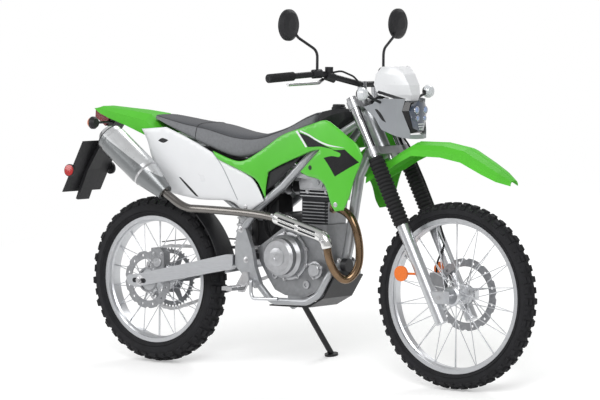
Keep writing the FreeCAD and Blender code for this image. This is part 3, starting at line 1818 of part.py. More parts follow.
# Side stand.
def make_stand():
    """The leg, its foot lying flat on the ground that the leaning bike stands on."""
    lean = math.radians(size.lean_angle.value)
    start = stand_point(size.stand_offset)
    foot = foot_point()
    foot_z = foot[2]
    top = (size.foot_x, size.foot_y - size.foot_thickness * math.sin(lean),
           foot_z + size.foot_thickness * math.cos(lean))
    root = tuple(a + (b - a) * STAND_ROOT_SHARE for a, b in zip(start, top))
    leg = rod("stand_leg", root, top, size.stand_radius)
    pad_disc = rod("stand_foot", foot, top, size.foot_radius)
    eye = rod("stand_eye", stand_point(size.seat_gap - size.stand_tab), stand_point(size.stand_tab),
              size.stand_eye)
    node("side_stand", [fuse("side_stand_joined", [leg, pad_disc, eye])])


# Bodywork.
def half_section(shape, low_half, low_z, top_half, top_z):
    """A closed front-view outline from its right half, given in shares of both half widths and the height."""
    right = []
    for low_share, top_share, up in shape:
        right.append((low_half * low_share + top_half * top_share, low_z + (top_z - low_z) * up))
    return [(-y, z) for y, z in right[:1]] + right + [(-y, z) for y, z in reversed(right[1:])]


def stacked_sections(shape, lows, tops, shrink=0, drop=0):
    """Sections along the bike from a table of low edges and one of top edges, and their stations."""
    sections = []
    stations = []
    for low, top in zip(lows, tops):
        x, low_half, low_z = scaled(low)
        x, top_half, top_z = scaled(top)
        sections.append(half_section(shape, low_half - shrink, low_z - drop, top_half - shrink,
                                     top_z - shrink))
        stations.append(x)
    return sections, stations


def make_tank():
    sections, stations = stacked_sections(TANK_SECTION, TANK_LOW_SHARES, TANK_TOP_SHARES)
    x, y, z = scaled(TANK_POST_SHARES[0])
    post = rod("tank_post", (x, -size.tank_post_y, z), (x, size.tank_post_y, z), size.post_radius)
    x, y, z = scaled(TANK_CAP_SHARES[0])
    cap = round_cover("tank_cap", (x, 0, z), (x, 0, z + size.tank_cap_height), size.tank_cap_radius)
    node("fuel_tank", [fuse("tank_joined", [lofted("tank_shell", sections, stations), post, cap])])


def sheet(name, plan):
    """An upright sheet, bent in plan and taller than any panel."""
    low, high = SHEET_SHARES
    return layer(name, plan, size.seat_height * low, size.seat_height * high)


def skin_panel(name, outline, plan):
    """A thin panel: its side-view outline cut out of a sheet that is bent in plan."""
    shape = slab(name + "_shape", side_points(outline), 0, size.half_width * 2)
    return common(name, sheet(name + "_sheet", plan_points(plan)), shape)


def make_panels():
    side = skin_panel("side_panel", SIDE_PANEL_SHARES, PANEL_PLAN_SHARES)
    x, y, z = scaled(PANEL_POST_SHARES[0])
    side_post = rod("panel_post", (x, y, z), (x, size.panel_post_y, z), size.post_radius)
    node("side_panels", both_sides(fuse("side_panel_joined", [side, side_post])))
    shroud = skin_panel("shroud", SHROUD_SHARES, SHROUD_PLAN_SHARES)
    posts = []
    for start, end in zip(SHROUD_POST_SHARES[::2], SHROUD_POST_SHARES[1::2]):
        posts.append(rod("shroud_post", scaled(start), scaled(end), size.post_radius))
    room = tube("spar_room", spar_line(), size.spar_radius + size.seat_gap, size.tube_bend)
    fitted = cut("shroud_posts_fitted", fuse("shroud_posts", posts), room)
    node("tank_shrouds", both_sides(fuse("shroud_joined", [shroud, fitted])))


def make_fenders():
    sections, stations = stacked_sections(TAIL_SECTION, TAIL_LOW_SHARES, TAIL_TOP_SHARES)
    tail = lofted("tail_shell", sections, stations)
    first, last = HOLLOW_ROWS
    sections, stations = stacked_sections(TAIL_SECTION, TAIL_LOW_SHARES[first:last],
                                          TAIL_TOP_SHARES[first:last],
                                          size.skin, size.skin * 2)
    node("rear_fender", [cut("tail_hollowed", tail, lofted("tail_hollow", sections, stations))])
    node("plate_bracket", [slab("plate_bracket", side_points(TAIL_EXTENSION_SHARES),
                                -size.bracket_half, size.bracket_half)])
    sections = []
    stations = []
    for shares in FRONT_FENDER_TOP_SHARES:
        x, half, z = carried(clamp_foot, shares)
        outer = [(half * wide, z - half * low) for wide, low in FENDER_ARCH]
        inner = [(across - size.skin * wide, down - size.skin * deep)
                 for (across, down), (wide, deep) in zip(outer, FENDER_SKIN)]
        outline = [(-across, down) for across, down in reversed(outer)] + outer[1:]
        outline += list(reversed(inner)) + [(-across, down) for across, down in inner[1:]]
        sections.append(outline)
        stations.append(x)
    node("front_fender", [lofted("front_fender", sections, stations)])


def hexagons(tops, wides, lows):
    """Six-sided front-view outlines, carried by the upper clamp, and their stations."""
    sections = []
    stations = []
    for top, wide, low in zip(tops, wides, lows):
        x, top_half, top_z = carried(clamp_top, top)
        x, wide_half, wide_z = carried(clamp_top, wide)
        x, low_half, low_z = carried(clamp_top, low)
        sections.append([(-low_half, low_z), (low_half, low_z), (wide_half, wide_z), (top_half, top_z),
                         (-top_half, top_z), (-wide_half, wide_z)])
        stations.append(x)
    return sections, stations


def number_cowl(name, grow, hollow):
    """The number cowl: a nose with swept wings, as a skin or as the whole space inside it."""
    sections = []
    heights = []
    for nose, wing in zip(NUMBER_NOSE_SHARES, NUMBER_WING_SHARES):
        nose_x, nose_half, z = carried(clamp_top, nose)
        wing_x, wing_half, z = carried(clamp_top, wing)
        outline = [(wing_x, -wing_half - grow), (nose_x + grow, -nose_half - grow),
                   (nose_x + grow, nose_half + grow), (wing_x, wing_half + grow)]
        if hollow:
            outline += [(wing_x, wing_half - size.skin), (nose_x - size.skin, nose_half),
                        (nose_x - size.skin, -nose_half), (wing_x, size.skin - wing_half)]
        sections.append(outline)
        heights.append(z)
    return risen(name, sections, heights)


def lower_cowl_plan(shrink):
    """The lower cowl's plan outline, from its right wing round the nose to the left wing."""
    right = []
    for x, half in carried_all(flat_plan(clamp_top), LOWER_COWL_PLAN_SHARES):
        right.append((x - shrink, shrink - half))
    return right + [(x, -y) for x, y in reversed(right)]


def make_front_end():
    gap = size.seat_gap
    cowl = number_cowl("number_cowl", 0, True)
    node("number_cowl", [cowl])
    side = slab("lower_cowl_side", clamp_side(LOWER_COWL_SHARES), -size.half_width, size.half_width)
    outside = sheet("lower_cowl_outside", lower_cowl_plan(term(0)))
    inside = sheet("lower_cowl_inside", lower_cowl_plan(size.skin))
    sections, stations = hexagons(MOUTH_TOP_SHARES, MOUTH_WIDE_SHARES, MOUTH_LOW_SHARES)
    mouth = lofted("lamp_mouth", sections, stations)
    skin = cut("lower_cowl_skin", common("lower_cowl_solid", side, outside), inside)
    room = fuse("lower_cowl_room", [mouth, number_cowl("number_cowl_room", gap, False)])
    lower = cut("lower_cowl_fitted", skin, room)
    node("lower_cowl", [lower])
    sections, stations = hexagons(LAMP_TOP_SHARES, LAMP_WIDE_SHARES, LAMP_LOW_SHARES)
    lamp = cut("headlamp_fitted", lofted("headlamp_shell", sections, stations), lower)
    node("headlamp", [lamp])
    dial = slab("dial", clamp_side(INSTRUMENT_SHARES), -size.dial_half, size.dial_half)
    front = size.head_radius * DIAL_ARM_SHARE + gap
    arm = rod("dial_arm", fork_point(size.clamp_high, 0, front), fork_point(size.clamp_high, 0,
                                                                            size.bracket_reach),
              size.bracket_radius)
    cowl_post = rod("cowl_post", *carried_all(clamp_top, DIAL_POST_SHARES), size.bracket_radius)
    lamp_post = rod("lamp_post", *carried_all(clamp_top, LAMP_POST_SHARES), size.bracket_radius)
    posts = cut("posts_fitted", fuse("posts", [cowl_post, lamp_post]), together("posts_room", [cowl, lamp]))
    node("instrument", [fuse("dial_joined", [dial, arm, posts])])
    start, end = carried_all(clamp_top, FRONT_LAMP_SHARES)
    stalk = rod("indicator_stalk", start, end, size.mirror_stem_radius)
    lens = spun("indicator_lamp", profile_of(LENS_PROFILE, size.lamp_radius, size.lamp_depth),
                (end[0] - size.lamp_depth / 2, end[1], end[2]),
                (end[0] + size.lamp_depth / 2, end[1], end[2]))
    node("front_indicators", both_sides(cut("indicator_fitted", fuse("indicator", [stalk, lens]), lower)))


def make_rear_end():
    x, y, z = scaled(REAR_LAMP_SHARES[0])
    lamps = []
    for side in (-1, 1):
        stalk = rod("rear_stalk", (x, (size.bracket_half + size.seat_gap) * side, z), (x, y * side, z),
                    size.mirror_stem_radius)
        lamp = spun("rear_lamp", profile_of(LENS_PROFILE, size.lamp_radius, size.lamp_depth),
                    (x + size.lamp_depth / 2, y * side, z),
                    (x - size.lamp_depth / 2, y * side, z))
        lamps.append(fuse("rear_indicator", [stalk, lamp]))
    node("rear_indicators", lamps)
    node("tail_lamp", [slab("tail_lamp", side_points(TAIL_LAMP_SHARES), -size.bracket_half,
                            size.bracket_half)])
    plate = slab("number_plate", side_points(PLATE_SHARES), -size.plate_width / 2, size.plate_width / 2)
    node("number_plate", [plate])


def straddler(name, corner, lengths, slot_low, slot_high, disc_centre, disc_radius):
    """A brake caliper: a bevelled housing with a slot that the disc runs in."""
    x, y, z = corner
    length, width, height = lengths
    bevel = length * CALIPER_SHARE
    far = x + length
    top = z + height
    outline = [(x + bevel, z), (far, z), (far, top - bevel), (far - bevel, top), (x, top), (x, z + bevel)]
    shell = slab(name, outline, y, y + width)
    slot = rod(name + "_slot", (disc_centre[0], slot_low, disc_centre[1]), (disc_centre[0], slot_high,
                                                                            disc_centre[1]),
               disc_radius)
    return cut(name + "_slotted", shell, slot)


def make_brakes():
    pads = size.brake_gap
    half = size.disc_thickness / 2 + pads
    front = straddler("front_caliper", (size.front_caliper_x, size.front_disc_y - size.caliper_front_in,
                                         size.front_caliper_z),
                      (size.caliper_length, size.caliper_front_in + size.caliper_front_out,
                       size.caliper_length),
                      size.front_disc_y - half, size.front_disc_y + half, front_axle,
                      size.front_disc_radius + pads)
    node("front_brake", [front])
    rear = straddler("rear_caliper", (size.rear_caliper_x, -size.arm_inside + size.seat_gap,
                                      size.rear_caliper_z),
                     (size.caliper_length, size.caliper_half * 2, size.caliper_length),
                     -size.rear_disc_y - half, -size.rear_disc_y + half, rear_axle,
                     size.rear_disc_radius + pads)
    plate = block("caliper_plate", (size.rear_caliper_x, size.seat_gap - size.arm_inside,
                                    size.caliper_plate_z),
                  (size.caliper_length, size.caliper_plate,
                   size.rear_caliper_z - size.caliper_plate_z + size.skin))
    node("rear_brake", [fuse("rear_brake_joined", [rear, plate])])


def make_hose(controls):
    """The front brake's hose, from its perch past the clamps and down the left leg to the caliper."""
    ahead = size.gaiter_radius + size.hose_radius * 3
    line = carried_all(front_axle_point, HOSE_LOW_SHARES)
    middle = (size.slider_high + size.clamp_low) / 2
    between = (size.clamp_low + size.clamp_high) / 2
    for along, (side, forward) in zip((size.slider_high, middle, size.clamp_low, between), HOSE_WAY):
        line.append(fork_point(along, size.fork_half * side, ahead * forward))
    line += carried_all(clamp_top, HOSE_TOP_SHARES)
    hose = tube("hose", line, size.hose_radius, size.pipe_bend)
    node("brake_hose", [cut("hose_fitted", hose, controls)])


def frame_outline(x, half, y_low, y_high):
    """A plan-view rectangle about a middle line across the bike."""
    return [(x - half, y_low), (x + half, y_low), (x + half, y_high), (x - half, y_high)]


def make_small_parts(frame):
    inner = size.half_width + size.pivot_plate
    hanger = slab("peg_hanger", side_points(PEG_HANGER_SHARES), inner + size.seat_gap,
                  inner + size.peg_hanger)
    root = (size.peg_x, inner + size.seat_gap, size.peg_z)
    arm = rod("peg_arm", root, (size.peg_x, size.peg_y, size.peg_z), size.peg_arm_radius)
    low = size.peg_z - size.peg_depth / 2
    high = size.peg_z + size.peg_depth / 2
    start = inner + size.peg_hanger + size.peg_gap
    rail = size.peg_depth / 2
    tread = layer("peg_tread", frame_outline(size.peg_x, size.peg_half, start, size.peg_y), low, high)
    opening = frame_outline(size.peg_x, size.peg_half - rail, start + rail, size.peg_y - rail)
    window = layer("peg_window", opening, low - rail, high + rail)
    teeth = []
    count = int(size.peg_teeth.value)
    for i in range(count):
        y = start + (size.peg_y - start) * (i + 1 / 2) / count
        rear = (size.peg_x - size.peg_half, y, high)
        teeth.append(rod("peg_notch", rear, (size.peg_x + size.peg_half, y, high), size.peg_notch))
    tread = cut("peg_toothed", tread, fuse("peg_cuts", [window] + teeth))
    node("footpegs", both_sides(fuse("peg_joined", [hanger, arm, tread])))
    pedal = tube("brake_pedal", scaled_all(BRAKE_PEDAL_SHARES), size.pedal_radius, size.pipe_bend)
    lever = tube("shift_pedal", scaled_all(SHIFT_PEDAL_SHARES), size.pedal_radius, size.pipe_bend)
    node("pedals", [pedal, lever])
    low_eye, low, high, high_eye = scaled_all(SHOCK_SHARES)
    node("rear_shock", [fuse("shock_joined", [
        rod("shock_body", low, high, size.shock_radius),
        rod("shock_rod", low_eye, low, size.shock_eye),
        rod("shock_head", high, high_eye, size.shock_eye),
    ])])
    node("air_box", [slab("air_box", side_points(AIR_BOX_SHARES), -size.box_half, size.box_half)])
    node("intake", [tube("intake", scaled_all(INTAKE_SHARES), size.intake_radius, size.pipe_bend)])
    shield = slab("shield", side_points(HEAT_SHIELD_SHARES), -size.shield_y - size.skin, -size.shield_y)
    stays = []
    for x, y, z in scaled_all(SHIELD_STAY_SHARES):
        stays.append(rod("shield_stay", (x, y, z), (x, -size.shield_y - size.skin / 2, z),
                         size.bracket_radius / 2))
    start, end = side_points(SLOT_LINE_SHARES)
    slots = []
    for row in (-1, 1):
        for first, last in SLOT_SPAN_SHARES:
            slot = []
            for share, edge in ((first, -1), (last, -1), (last, 1), (first, 1)):
                rise = size.slot_step * row + size.slot_half * edge
                across = start[0] + (end[0] - start[0]) * share
                slot.append((across, start[1] + (end[1] - start[1]) * share + rise))
            slots.append(slab("shield_slot", slot, -size.shield_y - size.skin * 2,
                              -size.shield_y + size.skin))
    slotted = cut("shield_slotted", shield, fuse("shield_slots", slots))
    node("heat_shield", [fuse("shield_joined", [slotted] + stays)])
    node("skid_plate", [slab("skid_plate", side_points(SKID_SHARES), -size.skid_half, size.skid_half)])
    guard = slab("guard_strip", side_points(CHAIN_GUARD_SHARES), size.chain_y - size.guard_half,
                 size.chain_y + size.guard_half)
    stay = slab("guard_stay", side_points(GUARD_STAY_SHARES), size.chain_y + size.guard_half - size.skin,
                size.arm_inside + size.guard_half)
    node("chain_guard", [fuse("guard_joined", [guard, stay])])
    node("horn", [rod("horn", (size.horn_x, -size.horn_y, size.horn_z), (size.horn_x + size.horn_depth,
                                                                         -size.horn_y, size.horn_z),
                      size.horn_radius)])
    back = (size.reflector_x, size.reflector_y, size.reflector_z)
    lens = rod("reflector", back, (size.reflector_x, size.reflector_y + size.reflector_depth,
                                   size.reflector_z),
               size.reflector_radius)
    strap = rod("reflector_strap", back, fork_point(size.reflector_strap, size.fork_half),
                size.bracket_radius / 2)
    leg_space = rod("slider_space", fork_point(size.slider_low, size.fork_half),
                    fork_point(size.slider_high, size.fork_half),
                    size.slider_radius + size.seat_gap)
    node("reflectors", both_sides(cut("reflector_fitted", fuse("reflector_joined", [lens, strap]),
                                      leg_space)))
    lever_right = tube("hand_lever", carried_all(bar_seat, HAND_LEVER_SHARES), size.pedal_radius,
                       size.pipe_bend)
    perch_start, perch_end = carried_all(bar_seat, PERCH_SHARES)
    perch = rod("perch", perch_start, perch_end, size.perch_radius)
    space = tube("controls_space", bar_line(), size.bar_radius + size.seat_gap, size.bar_bend)
    controls = cut("controls_fitted", fuse("controls_joined", [lever_right, perch]), space)
    foot = carried(bar_seat, RESERVOIR_SHARES[0])
    top = (foot[0], foot[1], foot[2] + size.reservoir_height)
    reservoir = rod("reservoir", foot, top, size.reservoir_radius)
    right = cut("controls_right", fuse("controls_pot", [mirrored(controls), reservoir]), space)
    node("controls", [controls, right])
    make_hose(right)


def make_all():
    make_front_wheel()
    make_rear_wheel()
    frame = make_frame()
    node("main_frame", [together("main_frame", [frame])])
    node("subframe", [make_subframe(frame)])
    make_engine()
    make_exhaust()
    make_swingarm()
    make_chain()
    make_fork()
    make_handlebar()
    make_mirrors()
    make_stand()
    sections, stations = stacked_sections(SEAT_SECTION, SEAT_LOW_SHARES, SEAT_TOP_SHARES)
    node("seat", [lofted("seat", sections, stations)])
    make_tank()
    make_panels()
    make_fenders()
    make_front_end()
    make_rear_end()
    make_brakes()
    make_small_parts(frame)


def check_document():
    """Stops the build when a feature failed or a node has no sound shape."""
    for thing in doc.Objects:
        if "Invalid" in thing.State or "Error" in thing.State:
            raise RuntimeError(thing.Label + " did not compute")
    for thing in nodes:
        if thing.Shape.isNull() or not thing.Shape.isValid():
            raise RuntimeError(thing.Label + " has no sound shape")


def lean_over():
    """Leans every node on to the side stand and puts the foot of the whole at the origin."""
    turn = FreeCAD.Rotation(Vector(-1, 0, 0), size.lean_angle.value)
    for thing in nodes:
        thing.Placement = FreeCAD.Placement(Vector(0, 0, 0), turn)
    doc.recompute()
    bounds = [thing.Shape.optimalBoundingBox(False) for thing in nodes]
    middle_x = (min(b.XMin for b in bounds) + max(b.XMax for b in bounds)) / 2
    middle_y = (min(b.YMin for b in bounds) + max(b.YMax for b in bounds)) / 2
    base = Vector(-middle_x, -middle_y, -min(b.ZMin for b in bounds))
    for thing in nodes:
        thing.Placement = FreeCAD.Placement(base, turn)
        thing.setExpression("Placement.Rotation.Angle", "Sizes.lean_angle")
    doc.recompute()
    print("base", base.x, base.y, base.z)


make_all()
doc.recompute()
check_document()
lean_over()
check_document()
os.makedirs("parts", exist_ok=True)
for thing in nodes:
    thing.Shape.exportStep("parts/" + thing.Label + ".step")
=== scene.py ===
import bpy
import bmesh
from math import cos, inf, pi, radians, sin, sqrt
from mathutils import Matrix, Vector
from mathutils.bvhtree import BVHTree
from mathutils.geometry import delaunay_2d_cdt


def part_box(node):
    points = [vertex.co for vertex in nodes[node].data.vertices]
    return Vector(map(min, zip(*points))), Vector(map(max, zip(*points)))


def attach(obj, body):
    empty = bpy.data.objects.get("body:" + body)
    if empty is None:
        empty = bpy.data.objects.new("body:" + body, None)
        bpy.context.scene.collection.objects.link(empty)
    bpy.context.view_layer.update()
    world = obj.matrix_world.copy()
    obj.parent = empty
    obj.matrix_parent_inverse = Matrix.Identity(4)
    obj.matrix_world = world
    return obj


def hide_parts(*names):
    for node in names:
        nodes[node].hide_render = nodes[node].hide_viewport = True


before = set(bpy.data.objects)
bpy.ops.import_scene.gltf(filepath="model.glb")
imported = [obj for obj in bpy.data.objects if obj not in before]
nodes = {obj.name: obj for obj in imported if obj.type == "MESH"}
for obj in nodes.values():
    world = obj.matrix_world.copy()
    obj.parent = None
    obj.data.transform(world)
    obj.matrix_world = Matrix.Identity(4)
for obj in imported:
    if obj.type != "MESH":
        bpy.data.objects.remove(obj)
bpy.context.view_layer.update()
LEAN = radians(10)
CASTER = radians(27.5)
FORK_OFFSET = 38.5
WHEELBASE = 1380
FRONT_AXLE_Z = 339
REAR_AXLE_Z = 317


# Places. The upright bike is drawn in millimetres: x forward, y left, z up, origin under the rear axle.
def leaned(x, y, z):
    """A place or direction of the upright bike, leaned on to its side stand."""
    c, s = cos(LEAN), sin(LEAN)
    return Vector((x, y * c + z * s, z * c - y * s))


low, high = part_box("rear_axle")
BASE = (low + high) / 2 - leaned(0, 0, REAR_AXLE_Z) / 1000


def row(x, y, z):
    """The place in the row, in metres, of a point of the bike."""
    return leaned(x, y, z) / 1000 + BASE


def turned_back(way):
    """A direction in the row, as the upright bike has it."""
    c, s = cos(LEAN), sin(LEAN)
    return Vector((way[0], way[1] * c - way[2] * s, way[2] * c + way[1] * s))


def upright(point):
    """The bike millimetres of a point in the row."""
    return turned_back((point - BASE) * 1000)


def fork(along, side=0):
    """A place on the line of the fork, or of a leg to its side, by its distance up from the axle."""
    c, s = cos(CASTER), sin(CASTER)
    return (WHEELBASE - c * FORK_OFFSET - s * along, side, FRONT_AXLE_Z - s * FORK_OFFSET + c * along)


def corners(*points):
    """The points given twice, which makes them corners of a curve."""
    return [p for p in points for _ in range(2)]


def curve_through(points, step=6, closed=False):
    """Points on a smooth line through the given ones; a point given twice is a corner."""
    marks = []
    for p in map(Vector, points):
        if marks and (marks[-1][0] - p).length < 1e-6:
            marks[-1][1] = True
        else:
            marks.append([p, False])
    count = len(marks)
    line = []
    for i in range(count if closed else count - 1):
        (b, sharp), (c, next_sharp) = marks[i], marks[(i + 1) % count]
        a = marks[i - 1][0] if (closed or i > 0) and not sharp else b
        d = marks[(i + 2) % count][0] if (closed or i + 2 < count) and not next_sharp else c
        parts = max(1, int((c - b).length / step))
        for k in range(parts):
            t = k / parts
            spot = 2 * b + (c - a) * t + (2 * a - 5 * b + 4 * c - d) * t * t
            line.append(0.5 * (spot + (3 * b - a - 3 * c + d) * t ** 3))
    if not closed:
        line.append(marks[-1][0])
    return line


def rounded(points, times=3):
    """The line with its corners cut again and again, so it bends smoothly inside them."""
    line = [Vector(p) for p in points]
    for _ in range(times):
        cut = [line[0]]
        for a, b in zip(line, line[1:]):
            cut += [a * 0.75 + b * 0.25, a * 0.25 + b * 0.75]
        line = cut + [line[-1]]
    return line


def eased(points, x):
    """The value at x between (place, value) pairs, with a soft start and end to each stretch."""
    if x <= points[0][0]:
        return points[0][1]
    for (a, ya), (b, yb) in zip(points, points[1:]):
        if x <= b:
            t = (x - a) / (b - a)
            t = t * t * (3 - 2 * t)
            return ya + (yb - ya) * t
    return points[-1][1]


# Materials
def fill(tree, node, inputs):
    """Give a node's inputs their values, or link them from other sockets or from nodes' first outputs."""
    for key, value in inputs.items():
        if isinstance(value, bpy.types.Node):
            value = value.outputs[0]
        if isinstance(value, bpy.types.NodeSocket):
            tree.links.new(value, node.inputs[key])
        else:
            node.inputs[key].default_value = value


def add_node(tree, kind, inputs=None, **settings):
    """A shader node with its settings and its inputs."""
    node = tree.nodes.new("ShaderNode" + kind)
    for name, value in settings.items():
        setattr(node, name, value)
    fill(tree, node, inputs or {})
    return node


def object_place(tree):
    return add_node(tree, "TexCoord").outputs["Object"]


# The kinds of fine pattern: node and detail
GRAINS = {"noise": ("TexNoise", 3), "cells": ("TexVoronoi", 0)}
BUMP_HEIGHT = 0.001


def surface(name, color, rough, metal, vary, scale, bump=0, bump_scale=900, rough_vary=0.08, coat=0,
            specular=0.5, fine="noise", stretch=(1, 1, 1)):
    """A procedural finish: colour and roughness vary with one noise, and a finer pattern gives the bump."""
    mat = bpy.data.materials.new(name)
    mat.use_nodes = True
    tree = mat.node_tree
    spread = add_node(tree, "Mapping", {"Vector": object_place(tree), "Scale": stretch})
    noise = add_node(tree, "TexNoise", {"Vector": spread, "Scale": scale, "Detail": 4})
    ramp = add_node(tree, "ValToRGB", {"Fac": noise})
    for stop, position, share in zip(ramp.color_ramp.elements, (0.3, 0.7), (1 - vary, 1 + vary)):
        stop.position = position
        stop.color = [min(1, c * share) for c in color] + [1]
    low_rough, high_rough = max(0.02, rough - rough_vary), min(1, rough + rough_vary)
    span = add_node(tree, "MapRange", {"Value": noise, "To Min": low_rough, "To Max": high_rough})
    looks = {"Base Color": ramp, "Roughness": span, "Metallic": metal, "Coat Weight": coat,
             "Coat Roughness": 0.08, "Specular IOR Level": specular}
    if bump:
        kind, detail = GRAINS[fine]
        grain = add_node(tree, kind, {"Vector": spread, "Scale": bump_scale, "Detail": detail})
        looks["Normal"] = add_node(tree, "Bump", {"Strength": bump, "Distance": BUMP_HEIGHT, "Height": grain})
    fill(tree, tree.nodes["Principled BSDF"], looks)
    return mat


def tinted(mat, far_color, start, end):
    """Blend the finish's colour to another along a line between two bike points."""
    tree = mat.node_tree
    color = tree.nodes["Principled BSDF"].inputs["Base Color"]
    a = row(*start)
    way = row(*end) - a
    dot = add_node(tree, "VectorMath", {0: object_place(tree), 1: way / way.length_squared},
                   operation="DOT_PRODUCT")
    first = a.dot(way) / way.length_squared
    share = add_node(tree, "MapRange",
                     {"Value": dot.outputs["Value"], "From Min": first, "From Max": first + 1})
    near_socket, far_socket, mixed_socket = 6, 7, 2
    mix = add_node(tree, "Mix", {near_socket: color.links[0].from_socket, far_socket: (*far_color, 1),
                                 "Factor": share}, data_type="RGBA")
    tree.links.new(mix.outputs[mixed_socket], color)


BIKE_GREEN = (0.08, 0.48, 0.024)
SMOOTH = (9, 0.015, 120)
COVER = {"specular": 0.35, "fine": "cells"}
LENS = {"coat": 0.6, "fine": "cells"}
# Each has its name, colour, roughness, metal, variation and its scale, then bump and its scale
GREEN = surface("green_plastic", BIKE_GREEN, 0.3, 0, 0.04, *SMOOTH, coat=0.15)
FENDER_GREEN = surface("fender_plastic", BIKE_GREEN, 0.58, 0, 0.04, *SMOOTH, specular=0.3)
WHITE = surface("white_plastic", (0.74, 0.75, 0.765), 0.3, 0, 0.02, *SMOOTH, coat=0.15)
COWL_GREY = surface("silver_plastic", (0.3, 0.315, 0.335), 0.34, 0.25, 0.04, 12, 0.06, 500)
SEAT_TOP = surface("seat_cover_dark", (0.075, 0.078, 0.086), 0.62, 0, 0.1, 120, 0.5, 620, **COVER)
SEAT_SIDE = surface("seat_cover_grey", (0.17, 0.175, 0.185), 0.58, 0, 0.1, 120, 0.4, 620, **COVER)
PIPING = surface("seat_piping", (0.03, 0.03, 0.033), 0.6, 0, 0.15, 300, 0.3, 1600)
BLACK = surface("black_plastic", (0.014, 0.014, 0.016), 0.5, 0, 0.2, 80, 0.25, 1500, specular=0.35)
BLACK_GLOSS = surface("black_gloss", (0.008, 0.008, 0.009), 0.24, 0, 0.1, 20, 0.03, 300, specular=0.35)
BLACK_METAL = surface("black_paint", (0.013, 0.013, 0.015), 0.38, 0.1, 0.15, 70, 0.1, 1200, specular=0.4)
RUBBER = surface("rubber", (0.012, 0.012, 0.013), 0.72, 0, 0.2, 150, 0.35, specular=0.3)
TYRE = surface("tyre_rubber", (0.013, 0.013, 0.015), 0.78, 0, 0.35, 35, 0.5, 420, specular=0.3,
               rough_vary=0.12)
ALLOY = surface("alloy_satin", (0.6, 0.61, 0.63), 0.34, 1, 0.05, 90, 0.06, 1400, stretch=(1, 1, 6))
BRUSHED = surface("alloy_brushed", (0.52, 0.53, 0.55), 0.38, 1, 0.1, 160, 0.12, stretch=(0.2, 6, 6))
CAST = surface("cast_alloy", (0.27, 0.275, 0.285), 0.46, 0.85, 0.1, 60, 0.45, 800)
CAST_LIGHT = surface("cast_alloy_light", (0.44, 0.445, 0.46), 0.36, 0.85, 0.08, 60, 0.3)
STEEL = surface("steel", (0.55, 0.55, 0.56), 0.33, 1, 0.08, 140, 0.08, 1500)
DISC_STEEL = surface("disc_steel", (0.34, 0.345, 0.36), 0.36, 1, 0.1, 140, 0.08)
DARK_STEEL = surface("dark_steel", (0.2, 0.205, 0.215), 0.4, 1, 0.12, 90, 0.1)
CHROME = surface("polished_steel", (0.56, 0.565, 0.58), 0.16, 1, 0.03, 60, 0.02, 500, rough_vary=0.04)
FRAME_PAINT = surface("frame_silver", (0.38, 0.39, 0.405), 0.34, 0.55, 0.05, 60, 0.1, 1400, coat=0.2)
SILVER = surface("silver_paint", (0.62, 0.63, 0.65), 0.3, 0.6, 0.04, 30, 0.05, 1200, coat=0.3)
MUFFLER = surface("muffler_silver", (0.6, 0.61, 0.62), 0.3, 0.55, 0.04, 30, 0.05, 1200, coat=0.3)
HEADER = surface("heated_steel", (0.21, 0.14, 0.085), 0.26, 1, 0.12, 30, 0.03, 400, rough_vary=0.06)
# A near black finish that paints the shade in gaps and slots
PAINTED_SHADE = surface("painted_gap_shade", (0.022, 0.023, 0.026), 0.6, 0.5, 0.2, 60, 0.2, 700)
SHIELD = surface("heat_shield_steel", (0.78, 0.78, 0.77), 0.2, 1, 0.03, 20, 0.02, 300)
RED_LENS = surface("red_lens", (0.42, 0.012, 0.012), 0.16, 0, 0.15, 300, 0.3, 420, **LENS)
DARK_RED = surface("dark_red_lens", (0.16, 0.006, 0.01), 0.15, 0, 0.15, 300, 0.3, 420, **LENS)
AMBER = surface("amber_lens", (0.8, 0.17, 0.012), 0.18, 0, 0.12, 300, 0.35, 420, **LENS)
CLEAR = surface("clear_lens", (0.62, 0.64, 0.66), 0.1, 0, 0.08, 300, 0.35, 420, **LENS)
BLUE_GLASS = surface("projector_glass", (0.24, 0.31, 0.5), 0.05, 0, 0.1, 30, rough_vary=0.02, coat=1)
LAMP_GLASS = surface("lamp_glass", (0.055, 0.07, 0.105), 0.06, 0, 0.2, 30, rough_vary=0.03, coat=1)
MIRROR_GLASS = surface("mirror_glass", (0.42, 0.44, 0.47), 0.04, 1, 0.01, 20, rough_vary=0.01)
# The header is less tinted by heat towards its cool end, and the muffler is two-tone with a sharp edge
tinted(HEADER, (0.19, 0.18, 0.17), (900, -60, 520), (640, -136, 598))
tinted(MUFFLER, (0.2, 0.21, 0.215), (58, -170, 776), (57, -170, 774.4))

FINISHES = (
    (FRAME_PAINT, "main_frame subframe"),
    (BRUSHED, "swingarm"),
    (STEEL, "rear_axle front_axle footpegs chain"),
    (CAST, "crankcase cylinder rear_brake front_brake"),
    (CAST_LIGHT, "engine_covers cylinder_head triple_clamps"),
    (BLACK, "air_box fuel_tank plate_bracket number_plate rear_indicators chain_guard mirrors instrument"),
    (RUBBER, "intake brake_hose fork_gaiters grips"),
    (HEADER, "exhaust_pipe"),
    (SHIELD, "heat_shield"),
    (MUFFLER, "muffler"),
    (GREEN, "tank_shrouds"),
    (WHITE, "side_panels number_cowl"),
    (SEAT_TOP, "seat"),
    (FENDER_GREEN, "rear_fender front_fender"),
    (DARK_RED, "tail_lamp"),
    (BLACK_METAL, "skid_plate horn handlebar controls side_stand"),
    (ALLOY, "pedals fork_sliders front_rim front_hub rear_rim rear_hub"),
    (SILVER, "rear_shock"),
    (CHROME, "fork_tubes"),
    (BLACK_GLOSS, "headlamp"),
    (COWL_GREY, "lower_cowl"),
    (CLEAR, "front_indicators"),
    (AMBER, "reflectors"),
    (TYRE, "front_tyre rear_tyre"),
    (DISC_STEEL, "front_disc rear_disc"),
    (DARK_STEEL, "rear_sprocket"),
)
